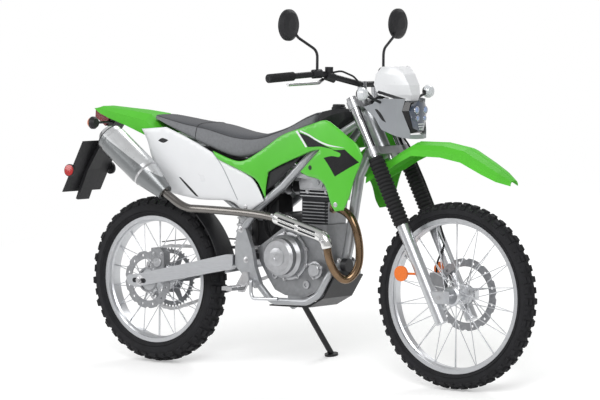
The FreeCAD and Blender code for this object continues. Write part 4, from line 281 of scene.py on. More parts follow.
for finish, names in FINISHES:
    for name in names.split():
        mesh = nodes[name].data
        mesh.materials.clear()
        mesh.materials.append(finish)
        for face in mesh.polygons:
            face.material_index = 0


def paint(name, finish, chosen):
    """Give another finish to the faces of a CAD node that a test of place and direction picks."""
    mesh = nodes[name].data
    mesh.materials.append(finish)
    index = len(mesh.materials) - 1
    for face in mesh.polygons:
        if chosen(upright(nodes[name].matrix_world @ face.center), turned_back(face.normal)):
            face.material_index = index


# Lenses, stalks and mirror glass
paint("rear_indicators", AMBER, lambda place, way: way[0] < -0.25 and abs(place[1]) > 118)
paint("front_indicators", BLACK, lambda place, way: abs(place[1]) < 184 or way[0] < -0.2)
paint("mirrors", MIRROR_GLASS, lambda place, way: way[0] < -0.95 and place[2] > 1240)
paint("instrument", BLACK_GLOSS, lambda place, way: way[0] < -0.5)
# Painted shade between the fins: the faces that look up or down, and the walls at their foot, get a near
# black finish where shade falls
paint("cylinder", PAINTED_SHADE, lambda place, way: (
    abs(way[2]) > 0.9 or abs(place[1]) < 62 and 725 < place[0] < 839))
paint("cylinder_head", PAINTED_SHADE, lambda place, way: place[2] < 710 and (
    abs(way[2]) > 0.8 or abs(way[1]) > 0.8 and abs(place[1]) < 69))
# The levers, below and outside their black perches
paint("controls", STEEL, lambda place, way: abs(place[1]) > 200 and place[2] < 1125)


# Meshes
FORWARD = Vector((1, 0, 0))
LEFT = Vector((0, 1, 0))
RIGHT = Vector((0, -1, 0))


def in_scene(name, data):
    obj = bpy.data.objects.new(name, data)
    bpy.context.scene.collection.objects.link(obj)
    return obj


def piece(name, verts, faces, finish, body, materials=(), sharp=35):
    """A smooth-shaded object with its finish, on one body; edges over the sharp angle stay hard."""
    mesh = bpy.data.meshes.new(name)
    mesh.from_pydata([tuple(v) for v in verts], [], faces)
    mesh.validate()
    obj = in_scene(name, mesh)
    for look in (finish, *materials):
        mesh.materials.append(look)
    work = bmesh.new()
    work.from_mesh(mesh)
    bmesh.ops.recalc_face_normals(work, faces=work.faces)
    work.to_mesh(mesh)
    work.free()
    mesh.shade_smooth()
    mesh.set_sharp_from_angle(angle=radians(sharp))
    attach(obj, body)
    return obj


class Build:
    """Verts and faces of one piece, gathered from several simple forms, in bike millimetres."""

    def __init__(self):
        self.verts = []
        self.faces = []
        self.index = []

    def add(self, verts, faces, material=0):
        start = len(self.verts)
        self.verts += [row(*v) for v in verts]
        self.faces += [tuple(start + i for i in f) for f in faces]
        self.index += [material] * len(faces)

    def make(self, name, finish, slot=None, replaced=None, body="frame", materials=(), sharp=35, bevel=0):
        """The piece, with the CAD node that it stands for and its bevelled edges. The slot is not used."""
        obj = piece(name, self.verts, self.faces, finish, body, materials, sharp)
        if len(set(self.index)) > 1 and len(obj.data.polygons) == len(self.index):
            obj.data.polygons.foreach_set("material_index", self.index)
        if bevel:
            mod = obj.modifiers.new("bevel", "BEVEL")
            mod.width = bevel / 1000
            mod.segments = 2
            mod.limit_method = "ANGLE"
            mod.angle_limit = radians(40)
        if replaced:
            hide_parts(replaced)
        return obj


def axes_of(direction):
    """Two directions square to the given one, and its own."""
    w = Vector(direction).normalized()
    u = w.orthogonal().normalized()
    return u, w.cross(u), w


def lathe(build, origin, direction, profile, sides, material=0, closed=False):
    """Turn a profile of (along, radius) pairs about a line."""
    u, v, w = axes_of(direction)
    origin = Vector(origin)
    verts = []
    faces = []
    for k in range(sides):
        angle = 2 * pi * k / sides
        out = u * cos(angle) + v * sin(angle)
        verts += [origin + w * along + out * radius for along, radius in profile]
    count = len(profile)
    steps = count if closed else count - 1
    for k in range(sides):
        a, b = k * count, ((k + 1) % sides) * count
        faces += [(a + i, a + (i + 1) % count, b + (i + 1) % count, b + i) for i in range(steps)]
    if not closed:
        for i in (0, count - 1):
            if profile[i][1] > 1e-6:
                faces.append(tuple(k * count + i for k in range(sides)))
    build.add(verts, faces, material)


def mirrored(half, width):
    """A section that is the same from both ends, from its one half."""
    return half + [(width - along, radius) for along, radius in reversed(half)]


def ring_faces(rings, sides):
    """The faces between rings of the same number of points, with both ends closed."""
    faces = []
    for i in range(rings - 1):
        for k in range(sides):
            a, b = i * sides + k, i * sides + (k + 1) % sides
            faces.append((a, b, b + sides, a + sides))
    return faces + [tuple(range(sides)), tuple(range((rings - 1) * sides, rings * sides))]


def pipe(build, line, radius, sides):
    """A round tube along the points of a line."""
    verts = []
    side = None
    for i, p in enumerate(line):
        way = (line[min(i + 1, len(line) - 1)] - line[max(i - 1, 0)]).normalized()
        if side is None:
            side = way.orthogonal().normalized()
        side = (side - way * side.dot(way)).normalized()
        other = way.cross(side)
        for k in range(sides):
            angle = 2 * pi * k / sides
            verts.append(p + side * cos(angle) * radius + other * sin(angle) * radius)
    build.add(verts, ring_faces(len(line), sides))


def loft(build, rings):
    build.add([p for ring in rings for p in ring], ring_faces(len(rings), len(rings[0])))


def brick(build, centre, along, across, up, sizes, taper):
    """A block by its middle, three directions and three lengths; the taper narrows its top."""
    a, b, c = (Vector(q).normalized() for q in (along, across, up))
    la, lb, lc = (s / 2 for s in sizes)
    verts = []
    for k, t in ((-1, 1), (1, taper)):
        for i, j in ((-1, -1), (1, -1), (1, 1), (-1, 1)):
            verts.append(Vector(centre) + a * la * i * t + b * lb * j * t + c * lc * k)
    build.add(verts, [(0, 1, 2, 3), (4, 5, 6, 7), (0, 1, 5, 4), (1, 2, 6, 5), (2, 3, 7, 6), (3, 0, 4, 7)])


def block(build, centre, sizes, taper):
    """A brick along the bike's own directions."""
    brick(build, centre, FORWARD, LEFT, (0, 0, 1), sizes, taper)


def spokes_at(count, offset=0):
    """Directions in the plane of the wheels, outward and along the rim, at even turns."""
    for k in range(count):
        turn = 2 * pi * (k + offset) / count
        yield Vector((sin(turn), 0, cos(turn))), Vector((cos(turn), 0, -sin(turn)))


# Panels that fill a side-view outline
def inside(point, loop):
    x, z = point
    hit = False
    for (ax, az), (bx, bz) in zip([loop[-1]] + loop[:-1], loop):
        if (az > z) != (bz > z) and x < (bx - ax) * (z - az) / (bz - az) + ax:
            hit = not hit
    return hit


def border_distance(point, loop):
    p = Vector((point[0], point[1]))
    best = inf
    for i in range(len(loop)):
        a, b = Vector(loop[i - 1]), Vector(loop[i])
        way = b - a
        t = max(0, min(1, (p - a).dot(way) / max(way.length_squared, 1e-9)))
        best = min(best, (a + way * t - p).length)
    return best


def filled(outline, grid, roll=0, step=6):
    """Border, points, faces and rim edges that fill an outline; roll adds points along its border."""
    loop = [(p[0], p[1]) for p in curve_through([(x, z, 0) for x, z in outline], step, True)]
    xs, zs = zip(*loop)
    points = list(loop)
    clear = grid * 0.45
    x = min(xs) + grid / 2
    while x < max(xs):
        z = min(zs) + grid / 2
        while z < max(zs):
            if inside((x, z), loop) and border_distance((x, z), loop) > clear:
                points.append((x, z))
            z += grid
        x += grid
    if roll:
        for i in range(len(loop)):
            a, b = Vector(loop[i - 1]), Vector(loop[(i + 1) % len(loop)])
            normal = Vector((-(b - a)[1], (b - a)[0])).normalized()
            for sign in (1, -1):
                q = Vector(loop[i]) + normal * sign * roll * 0.5
                if inside(q, loop) and border_distance(q, loop) > roll * 0.4:
                    points.append((q[0], q[1]))
    edges = [(i, (i + 1) % len(loop)) for i in range(len(loop))]
    verts, _, faces, _, _, _ = delaunay_2d_cdt([Vector(p) for p in points], edges, [], 1, 0.01)
    sides = {(face[i - 1], face[i]): None for face in faces for i in range(len(face))}
    rim = [(a, b) for a, b in sides if (b, a) not in sides]
    return loop, verts, faces, rim


def sheet_faces(faces, rim, count, start=0):
    """The faces of a thin sheet: its front, its back turned round, and the wall between them."""
    front = [tuple(start + i for i in f) for f in faces]
    back = [tuple(start + count + i for i in reversed(f)) for f in faces]
    return front + back + [(start + a, start + b, start + b + count, start + a + count) for a, b in rim]


PANEL_THICKNESS = 2.5


def skin(name, outline, out, finish, roll, slot=None, replaced=None):
    """A panel on both sides of the bike, on the surface y = out(x, z), with its border rolled in."""
    loop, verts, faces, rim = filled(outline, 14, roll)
    drop = roll * 0.6
    built = Build()
    for side in (1, -1):
        outer = []
        inner = []
        for x, z in verts:
            d = min(border_distance((x, z), loop), roll)
            y = out(x, z) - drop * (1 - sqrt(max(0, 1 - (1 - d / roll) ** 2)))
            outer.append((x, side * y, z))
            inner.append((x, side * (out(x, z) - PANEL_THICKNESS - drop), z))
        built.add(outer + inner, sheet_faces(faces, rim, len(verts)))
    return built.make(name, finish, slot, replaced, sharp=50)


# What lies on the surface of other pieces
def surfaces_of(*objects):
    graph = bpy.context.evaluated_depsgraph_get()
    return [BVHTree.FromObject(obj, graph) for obj in objects]


def nearest_hit(trees, origin, way):
    best = None
    for tree in trees:
        hit = tree.ray_cast(origin, way)
        if hit[0] is not None and (best is None or hit[3] < best[3]):
            best = hit
    return best


SIDE_REACH = 420
DECAL_DEPTH = 0.0006


def side_hit(trees, x, z, side):
    """Where a line in across the bike first meets the surfaces."""
    return nearest_hit(trees, row(x, side * SIDE_REACH, z), leaned(0, -side, 0))


def decal(name, outline, target, finish, body="frame", sides=(1, -1), height=0.5, grid=9, step=6):
    """A thin graphic or inlay on the outer surface of another piece, filled from a side-view outline."""
    trees = surfaces_of(target)
    _, verts, faces, rim = filled(outline, grid, 0, step)
    count = len(verts)
    places = []
    sheets = []
    for side in sides:
        outward = leaned(0, side, 0)
        hits = [side_hit(trees, x, z, side) for x, z in verts]
        found = [hit[0] for hit in hits if hit]
        middle_y = upright(sum(found, Vector()) / max(1, len(found)))[1]
        spots = []
        normals = []
        for (x, z), hit in zip(verts, hits):
            normal = hit[1] if hit else outward
            normals.append(normal if normal.dot(outward) > 0 else -normal)
            spots.append(hit[0] if hit else row(x, middle_y, z))
        sheets += sheet_faces(faces, rim, count, len(places))
        places += [p + w * height / 1000 for p, w in zip(spots, normals)]
        places += [p - w * DECAL_DEPTH for p, w in zip(spots, normals)]
    piece(name, places, sheets, finish, body, sharp=50)


def slot_outline(start, end, radius, points):
    """The outline of a slot between two points in side view, with so many points in each round end."""
    start, end = Vector(start), Vector(end)
    way = (end - start).normalized() * radius
    across = Vector((-way[1], way[0]))
    outline = []
    for spot, sign in ((start, -1), (end, 1)):
        for k in range(points):
            turn = radians(180 * k / (points - 1) - 90)
            outline.append(spot + way * sign * cos(turn) + across * sign * sin(turn))
    return [(p[0], p[1]) for p in outline]


WASHER = 1.5


def bolt_on(build, trees, x, z, side, radius, height):
    """A hexagon bolt on its washer, where a line across the bike meets the surface."""
    hit = side_hit(trees, x, z, side)
    if not hit:
        return
    y = upright(hit[0])[1]
    way = (0, side, 0)
    lathe(build, (x, y - side, z), way,
          [(0, radius * 1.5), (WASHER, radius * 1.5), (WASHER + 0.6, radius * 1.3)], 20)
    lathe(build, (x, y + side * WASHER * 0.5, z), way,
          [(0, radius), (height, radius), (height + 0.8, radius * 0.82)], 6)


# Camera, floor and light. The camera is the photograph's, fitted to both wheels.
TARGET = Vector((670.7, 0, 650.5))
DISTANCE = 12872.6
FOCAL_PIXELS = 3463.6
PHOTO_WIDTH = 600
SENSOR_WIDTH = 36
WHITE_LIGHT = (1, 1, 1, 1)
FLOOR_HALF = 30
LAMPS = (("key", (2.6, -3.2, 4.2), 150, 2.6), ("fill", (-3, -2.6, 2.6), 60, 2.4),
         ("rim", (-0.6, 3.4, 3.6), 90, 2.4))


def photo_camera():
    azimuth, elevation, roll = (radians(a) for a in (37.06, 3.85, 0.53))
    level = cos(elevation)
    back = Vector((sin(azimuth) * level, -cos(azimuth) * level, sin(elevation)))
    right = (-back).cross(Vector((0, 0, 1))).normalized()
    up = right.cross(-back)
    side = right * cos(roll) + up * sin(roll)
    top = up * cos(roll) - right * sin(roll)
    data = bpy.data.cameras.new("camera")
    data.lens = FOCAL_PIXELS / PHOTO_WIDTH * SENSOR_WIDTH
    data.sensor_width = SENSOR_WIDTH
    data.clip_end = 100
    camera = in_scene("camera", data)
    matrix = Matrix([leaned(*way) for way in (side, top, back)]).transposed().to_4x4()
    matrix.translation = row(*(TARGET + back * DISTANCE))
    camera.matrix_world = matrix
    bpy.context.scene.camera = camera


def pale_floor():
    """A floor that takes the shadows near the bike and fades into plain white away from it."""
    mesh = bpy.data.meshes.new("floor")
    square = [(x * FLOOR_HALF, y * FLOOR_HALF, 0) for x, y in ((-1, -1), (1, -1), (1, 1), (-1, 1))]
    mesh.from_pydata(square, [], [(0, 1, 2, 3)])
    floor = in_scene("floor", mesh)
    mat = bpy.data.materials.new("pale_floor")
    mat.use_nodes = True
    tree = mat.node_tree
    matt = tree.nodes["Principled BSDF"]
    fill(tree, matt, {"Base Color": (0.78, 0.78, 0.78, 1), "Roughness": 0.9, "Specular IOR Level": 0.1})
    rays = add_node(tree, "LightPath").outputs
    seen = add_node(tree, "Math", {0: rays["Is Camera Ray"], 1: rays["Is Glossy Ray"]}, operation="MAXIMUM")
    unlit = add_node(tree, "Emission", {"Strength": 0})
    glow = add_node(tree, "Emission", {"Strength": 0.3})
    lift = add_node(tree, "MixShader", {"Fac": seen, 1: unlit, 2: glow})
    near = add_node(tree, "AddShader", {0: matt, 1: lift})
    away = add_node(tree, "VectorMath", {0: object_place(tree)}, operation="LENGTH").outputs["Value"]
    fade = add_node(tree, "MapRange", {"Value": away, "From Min": 1.5, "From Max": 3})
    share = add_node(tree, "Math", {0: fade, 1: rays["Is Camera Ray"]}, operation="MULTIPLY")
    look = add_node(tree, "MixShader", {"Fac": share, 1: near, 2: add_node(tree, "Emission")})
    fill(tree, tree.nodes["Material Output"], {"Surface": look})
    mesh.materials.append(mat)


def lights():
    """A white world that lights the bike at half strength, and three square lamps."""
    world = bpy.data.worlds.new("world")
    bpy.context.scene.world = world
    world.use_nodes = True
    tree = world.node_tree
    soft = tree.nodes["Background"]
    fill(tree, soft, {"Color": WHITE_LIGHT, "Strength": 0.5})
    white = add_node(tree, "Background", {"Color": WHITE_LIGHT, "Strength": 1})
    rays = add_node(tree, "LightPath").outputs
    seen = add_node(tree, "Math", {0: rays["Is Camera Ray"], 1: rays["Is Transmission Ray"]},
                    operation="MAXIMUM")
    mix = add_node(tree, "MixShader", {"Fac": seen, 1: soft, 2: white})
    fill(tree, tree.nodes["World Output"], {"Surface": mix})
    for name, place, energy, width in LAMPS:
        data = bpy.data.lights.new(name, "AREA")
        data.shape = "SQUARE"
        data.size = width
        data.energy = energy
        lamp = in_scene(name, data)
        lamp.location = place
        lamp.rotation_euler = (Vector((0, 0, 0.5)) - Vector(place)).to_track_quat("-Z", "Y").to_euler()


photo_camera()
pale_floor()
lights()
bpy.context.scene.view_settings.view_transform = "Standard"


# Tyres. Tread blocks of even and odd steps: place across, tilt, length, width and depth in the carcass
TREAD = (((0.105, 7, 1, 0.16, 4), (0.37, 43, 0.8, 0.17, 2)),
         ((0, 0, 1, 0.2, 4), (0.235, 15, 0.95, 0.15, 4), (0.37, 43, 1.05, 0.17, 2)))


def tyre(name, body, node, axle_x, axle_z, radius, width, rim_radius, rim_width, pitches, depth):
    """A rounded carcass with rows of bevelled tread blocks, and ribs on the side walls."""
    built = Build()
    half = width / 2 - 2
    round_half = half - depth * 0.35
    foot = rim_radius + 4
    rise = radius - depth - foot
    inner = rim_width / 2 - 3
    profile = [(-inner, rim_radius - 8), (-inner - 1, rim_radius + 1)]
    for k in range(1, 24):
        angle = pi * (k / 24)
        profile.append((-cos(angle) * round_half, foot + rise * sin(angle) ** 0.62))
    profile += [(inner + 1, rim_radius + 1), (inner, rim_radius - 8)]
    rib = [(1.6 * cos(k * pi / 3), 1.6 * sin(k * pi / 3)) for k in range(6)]
    ribs = [[(y + a, rim_radius + 12 + b) for a, b in rib] for y in (-half + 3.2, half - 3.2)]
    for section in (profile, *ribs):
        lathe(built, (axle_x, 0, axle_z), LEFT, section, 120, closed=True)
    pitch = 2 * pi / pitches
    for k in range(pitches):
        radial = Vector((sin(k * pitch), 0, cos(k * pitch)))
        for place, tilt, long, wide, extra in TREAD[k % 2]:
            sizes = (radius * pitch * 0.62 * long, width * wide, depth + extra)
            share = width * place / round_half
            base = foot + rise * max(0, 1 - share * share) ** 0.31
            for sign in (1, -1) if place else (1,):
                tip = radians(tilt) * sign
                up = radial * cos(tip) + LEFT * sin(tip)
                across = LEFT * cos(tip) - radial * sin(tip)
                top = min(radius - 0.8 - sizes[1] / 2 * abs(sin(tip)),
                          base + depth * (0.95 if tilt < 30 else 0.75))
                spot = Vector((axle_x, sign * width * place, axle_z))
                centre = spot + radial * top - up * (sizes[2] / 2)
                brick(built, centre, across.cross(up), across, up, sizes, 0.84)
    built.make(name, TYRE, "tyre", node, body, sharp=30)


tyre("front_tyre_knobbly", "front_wheel", "front_tyre", WHEELBASE, FRONT_AXLE_Z, 339, 78, 281, 54, 52, 9)
tyre("rear_tyre_knobbly", "rear_wheel", "rear_tyre", 0, REAR_AXLE_Z, 317, 106, 243, 70, 42, 11)


# Rubber on the fork and the handlebar
def gaiters():
    """Bellows on both legs of the fork, with a plain collar at each end."""
    built = Build()
    low_end, high_end, folds = 308, 556, 17
    pitch = (high_end - low_end) / folds
    profile = [(302, 20), (302, 27)]
    for k in range(folds):
        start = low_end + (high_end - low_end) * k / folds
        fold = (0, 24.5), (0.3, 29.3), (0.5, 30), (0.7, 29.3)
        profile += [(start + pitch * share, radius) for share, radius in fold]
    profile += [(558, 25), (560, 27), (570, 27), (571.5, 20)]
    for side in (95, -95):
        lathe(built, fork(0, side), Vector(fork(1)) - Vector(fork(0)), profile, 40)
    built.make("gaiter_bellows", RUBBER, "rubber", "fork_gaiters", "steering", sharp=60)


def grips():
    """Rubber sleeves with fine ribs, a flange at the inner end and a rounded outer end."""
    built = Build()
    profile = [(0.2, 8), (0.2, 14), (1.6, 16)]
    ribs = 22
    for k in range(ribs):
        start = 4 + 104 * k / ribs
        profile += [(start, 15), (start + 1.1, 16.3), (start + 3, 16.3), (start + 4, 15)]
    profile += [(110, 15.5), (114, 16.4), (121, 16.4), (121.5, 12)]
    for side in (1, -1):
        end = Vector((833, side * 412, 1114))
        lathe(built, end, Vector((855, side * 290, 1121)) - end, profile, 36)
    built.make("grip_sleeves", RUBBER, "rubber", "grips", "steering", sharp=45)


gaiters()
grips()

# Seat: firm foam under a stretched cover with a darker top. Stations: x, half width and height.
SEAT_TOPS = [(20, 60, 950), (90, 80, 942), (190, 92, 930), (300, 95, 920), (430, 90, 896), (530, 78, 893),
             (640, 62, 922), (720, 52, 962), (775, 46, 984)]
SEAT_LOWS = [(20, 64, 936), (90, 90, 915), (190, 100, 880), (300, 105, 842), (430, 100, 802), (530, 88, 816),
             (640, 75, 878), (720, 66, 915), (775, 58, 934.7)]
SEAT_STATIONS = 56
SHOULDER = 4
CROWN = 8
SEAM_X = 252


def seat_ring(x, top_half, top_z, low_half, low_z):
    """One cross section: low sides leaning in, a rounded shoulder and a shallow crown."""
    tall = top_z - low_z
    side = [(low_half - 3, low_z + 1), (low_half, low_z + tall * 0.12),
            (low_half - (low_half - top_half) * 0.35, low_z + tall * 0.45),
            (top_half + 1, low_z + tall * 0.68), (top_half - 3, low_z + tall * 0.8),
            (top_half - 9, low_z + tall * 0.88), (top_half * 0.72, low_z + tall * 0.955),
            (top_half * 0.42, top_z - tall * 0.01), (0, top_z)]
    return [(x, y, z) for y, z in side] + [(x, -y, z) for y, z in reversed(side[:-1])]


def seat():
    """The seat with its piping, and the sewn line across it, down to its lower edge."""
    tops, lows = curve_through(SEAT_TOPS, 14), curve_through(SEAT_LOWS, 14)
    rings = []
    for k in range(SEAT_STATIONS + 1):
        top = tops[round(k / SEAT_STATIONS * (len(tops) - 1))]
        below = min(lows, key=lambda p: abs(p[0] - top[0]))
        ring = seat_ring(*top, below[1], below[2])
        if k in (0, SEAT_STATIONS):
            middle = sum((Vector(p) for p in ring), Vector()) / len(ring)
            smaller = [middle + (Vector(p) - middle) * 0.9 for p in ring]
            ring = [(top[0], p[1], p[2]) for p in smaller]
        rings.append(ring)
    built = Build()
    loft(built, rings)
    obj = built.make("seat_foam", SEAT_SIDE, materials=[SEAT_TOP], sharp=80)
    size = len(rings[0])
    for index, face in enumerate(obj.data.polygons[:SEAT_STATIONS * size]):
        face.material_index = int(SHOULDER <= index % size <= size - 2 - SHOULDER)
    smooth = obj.modifiers.new("smooth", "SUBSURF")
    smooth.render_levels = 1
    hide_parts("seat")
    trim = Build()
    edge = [ring[SHOULDER] for ring in rings[1:-1]]
    for side in (1, -1):
        pipe(trim, [Vector((x, side * (y + 0.2), z - 0.4)) for x, y, z in edge], 1.5, 8)
    trim.make("seat_piping_lines", PIPING, "seat_cover")
    seam = Build()
    ring = min(rings, key=lambda r: abs(r[0][0] - SEAM_X))
    middle = Vector((ring[0][0], 0, ring[CROWN][2] - 40))
    move = Vector((SEAM_X - ring[0][0], 0, 0))
    line = [Vector(p) + (Vector(p) - middle).normalized() * 0.3 + move for p in ring[1:-1]]
    pipe(seam, line, 1.3, 8)
    seam.make("seat_seam", PIPING, "seat_cover")


seat()


# Body panels, their graphics and painted shade, as outlines in side view
def shroud_out(x, z):
    plan = eased([(340, 126), (600, 128), (760, 134), (880, 149), (1000, 150), (1080, 142)], x)
    return plan - ((z - 850) / 420) ** 2 * 24


def panel_out(x, z):
    plan = eased([(-40, 104), (100, 111), (350, 115), (640, 117)], x)
    return plan + 3 - ((z - 760) / 300) ** 2 * 6


def flat_at(y):
    return lambda x, z: y


SHROUD = [
    *corners((353, 825)), (477, 792), (567, 827), (673, 892), (755, 921), (831, 944), (877, 957), (906, 956),
    (950, 932), (987, 908), (1033, 877), *corners((1058, 832)), (1044, 795), (1023, 748), (1004, 690),
    *corners((974, 634), (936, 628)), (917, 656), (900, 705), (884, 729), (859, 743), (807, 751),
    *corners((768, 765)), (822, 811), *corners((868, 850)), (818, 841), (740, 812), (663, 781),
    *corners((615, 757)), (604, 705), *corners((599, 660)), (562, 722), (496, 753), (380, 795)]
SIDE_COVER = [*corners((604, 690), (612, 757)), (663, 788), *corners((775, 834)), (700, 764),
              *corners((646, 716))]
SIDE_PANEL = [
    *corners((-9, 895)), (23, 848), (55, 772), *corners((138, 659)), (280, 641), (425, 641), (486, 613),
    *corners((527, 610), (590, 648)), (534, 730), (418, 780), (345, 818), (230, 866), *corners((116, 906))]
INNER_COVER = [*corners((482, 476)), (476, 640), (500, 700), *corners((560, 700), (604, 650), (606, 575)),
               (560, 500), *corners((532, 474))]
SHROUD_GRAPHICS = (
    ("shroud_hole", BLACK, [
        (822 + 9 * cos(k * pi / 6), 783 + 9 * sin(k * pi / 6)) for k in range(12)]),
    ("graphic_wedge_rear", BLACK_GLOSS, [
        *corners((763, 909), (809, 899)), (891, 868), *corners((940, 853)), (880, 862), (840, 860),
        *corners((810, 858))]),
    ("graphic_wedge_front", BLACK_GLOSS, [
        *corners((930, 851), (985, 856), (1046, 812), (940, 756)), (912, 795), *corners((889, 822)),
        (925, 830), (960, 828), (966, 840), (952, 846)]),
    ("graphic_edge_stripe", WHITE, corners((748, 914), (757, 916), (806, 859), (798, 856))),
    ("graphic_top_stripe", WHITE, [
        *corners((768, 918), (812, 906)), (900, 874), *corners((986, 862)), (900, 868),
        *corners((811, 900), (770, 912))]),
)
PANEL_GRAPHICS_AND_SHADE = (
    ("panel_slot", BLACK, 0.5, [
        *corners((80, 853)), (100, 864), *corners((131, 857)), (107, 846)]),
    ("panel_slash", BLACK, 0.5, [
        *corners((184, 720)), (192, 719), (240, 684), *corners((281, 650)), (270, 651), (228, 682)]),
    # A grey line painted as the shade in the panel's crease
    ("panel_crease_shade", COWL_GREY, 0.3, [
        *corners((346, 818)), (349, 818), (399, 765), *corners((470, 648)), (467, 647), (396, 763)]),
)
green = skin("shroud_skin", SHROUD, shroud_out, GREEN, 5, "green", "tank_shrouds")
skin("side_cover", SIDE_COVER, flat_at(118), BLACK, 3)
for name, finish, outline in SHROUD_GRAPHICS:
    decal(name, outline, green, finish)
white = skin("side_panel_skin", SIDE_PANEL, panel_out, WHITE, 5, "white", "side_panels")
for name, finish, height, outline in PANEL_GRAPHICS_AND_SHADE:
    decal(name, outline, white, finish, height=height)
fixings = Build()
panels = surfaces_of(white, green)
for side in (1, -1):
    for x, z in ((507, 622), (941, 653)):
        bolt_on(fixings, panels, x, z, side, 6, 2.5)
fixings.make("panel_bolts", STEEL)


# Front end: lens, projector lamps, slit and vent
LAMP_Z = 983
LENS_SIDE = [(-20, 1041), (-47, 1027), (-62, 1000), (-38, 934), (-16, 922)]
LENS_EDGE = [(0, 1033), *LENS_SIDE, *((-y, z) for y, z in reversed(LENS_SIDE))]


def lamp_front(y, z):
    """How far forward the lamp's faceted front lies."""
    narrow = eased([(918, 0.68), (1000, 1), (1044, 0.74)], z)
    return eased([(0, 1216), (26, 1214), (55, 1201), (78, 1170)], abs(y) / narrow) + 2


def lamp_details():
    built, rims, bulbs, bars = (Build() for _ in range(4))
    rings = []
    for share in (0.92, 0.8, 0.6, 0.4, 0.15):
        ring = [(y * share, LAMP_Z + (z - LAMP_Z) * share) for y, z in LENS_EDGE]
        rings.append([(lamp_front(y, z), y, z) for y, z in ring])
    loft(built, rings)
    trees = surfaces_of(built.make("lamp_lens", LAMP_GLASS, "lens", body="steering", sharp=60))
    tilted = (1, 0, 0.05)
    for y, z, radius in ((-27, 1003, 14), (27, 1003, 14), (-21, 973, 11), (21, 973, 11)):
        place = (upright(nearest_hit(trees, row(1400, y, z), leaned(-1, 0, 0))[0])[0] - 3, y, z)
        glass = radius - 2.6
        rim = [(0, radius), (4.5, radius), (5, radius - 1), (4.5, radius - 2.2), (3.2, glass)]
        lathe(rims, place, tilted, rim, 28)
        arc = [k * pi / 12 for k in range(7)]
        lathe(bulbs, place, tilted, [(3 + radius * 0.42 * sin(a), glass * cos(a)) for a in arc], 28)
    for z, half in ((952, 20), (943, 16), (934, 12)):
        brick(bars, (lamp_front(0, z) - 2.2, 0, z), LEFT, (0, 0, 1), FORWARD, (2 * half, 4, 6), 0.9)
    bars.make("lamp_bars", CLEAR, "lens", body="steering", bevel=0.8)
    rims.make("lamp_rims", CHROME, "chrome", body="steering")
    bulbs.make("lamp_projectors", BLUE_GLASS, "lens", body="steering")


lamp_details()
SLIT = [*corners((1078, 1070)), (1086, 1071), *corners((1172, 1042), (1164, 1034)), (1082, 1062)]
VENT = [*corners((1080, 1004)), (1092, 1003), (1108, 988), *corners((1127, 957)), (1112, 965), (1096, 984)]
decal("cowl_slit", SLIT, nodes["number_cowl"], BLACK, "steering", grid=5, step=4)
decal("cowl_vent", VENT, nodes["lower_cowl"], BLACK, "steering", grid=5, step=4)


# Tail: reflectors beside the plate
def tail_details():
    red, rims = Build(), Build()
    for side in (1, -1):
        place, way = (-354, side * 117, 722), (0.05, side, 0.1)
        lathe(rims, place, way, [(0, 24), (9, 24), (10, 22.5), (10, 0.01)], 32)
        lathe(red, place, way, [(9.5, 21.5), (12, 21), (13.5, 16), (14.2, 0.01)], 32)
        lathe(rims, (-354, side * 106, 722), (0, side, 0), [(0, 7), (12, 7)], 16)
    rims.make("plate_reflector_rims", BLACK, "black_plastic")
    red.make("plate_reflectors", RED_LENS, "red_lens")


tail_details()

# Exhaust
HEADER_LINE = [
    (856, -44, 640), (930, -44, 616), (964, -42, 560), (972, -30, 480), (966, -34, 410), (938, -66, 366),
    (914, -100, 392), (900, -128, 450), (893, -134, 520), (774, -136, 560), (660, -138, 594),
    (500, -136, 604), (300, -136, 606), (238, -146, 606)]
GUARD_LINE = [(899, -131, 492), (893, -134, 520), (872, -134, 536), (774, -136, 560), (700, -137, 582),
              (664, -138, 592)]
MUFFLER_START = Vector((156, -162, 662))
MUFFLER_END = Vector((-126, -179, 880))


def square_to(way):
    """The direction to the rider's right, made square to the given one."""
    out = RIGHT - way * RIGHT.dot(way)
    return out.normalized()


def exhaust():
    """The bent header, with a collar at the head and one at the muffler."""
    built = Build()
    pipe(built, rounded(HEADER_LINE + [MUFFLER_START]), 15, 28)
    first, second, last = (Vector(HEADER_LINE[i]) for i in (0, 1, -1))
    lathe(built, MUFFLER_START, MUFFLER_START - last, [(-2, 15), (0, 24), (6, 24), (8, 15)], 32)
    lathe(built, first, second - first, [(4, 15), (5, 25), (12, 25), (14, 16)], 32)
    built.make("exhaust_header", HEADER, "pipe", "exhaust_pipe")


def heat_guard():
    """A half tube in front of the header, open behind, with two long slots in two rows painted on as shade.
    """
    line = rounded(GUARD_LINE, 2)
    rings = []
    for i, p in enumerate(line):
        way = (line[min(i + 1, len(line) - 1)] - line[max(i - 1, 0)]).normalized()
        out = square_to(way)
        up = way.cross(out)
        radius = min(24.5, 22.5 + min(i, len(line) - 1 - i))
        arc = [radians(-88 + 176 * k / 16) for k in range(17)]
        spokes = [out * cos(turn) + up * sin(turn) for turn in arc]
        rings.append([p + s * radius for s in spokes] + [p + s * (radius - 2) for s in reversed(spokes)])
    built = Build()
    loft(built, rings)
    guard = built.make("heat_guard", SHIELD, "chrome", "heat_shield", sharp=50)
    # The slots are near black sheets on the guard: painted shade that stands for the open slots
    ends = [(a, b, rise) for a, b in ((0.08, 0.44), (0.54, 0.9)) for rise in (-8, 8)]
    for number, (a, b, rise) in enumerate(ends):
        front, rear = Vector((872, 536 + rise)), Vector((672, 590 + rise))
        slot = slot_outline(front.lerp(rear, a), front.lerp(rear, b), 3.2, 5)
        decal(f"guard_slot_{number}", slot, guard, PAINTED_SHADE, sides=(-1,), height=0.4, grid=5, step=3)
    screws = Build()
    for x, z in ((884, 524), (674, 590), (774, 560)):
        bolt_on(screws, surfaces_of(guard), x, z, -1, 4.2, 2.5)
    screws.make("guard_screws", STEEL, "steel")


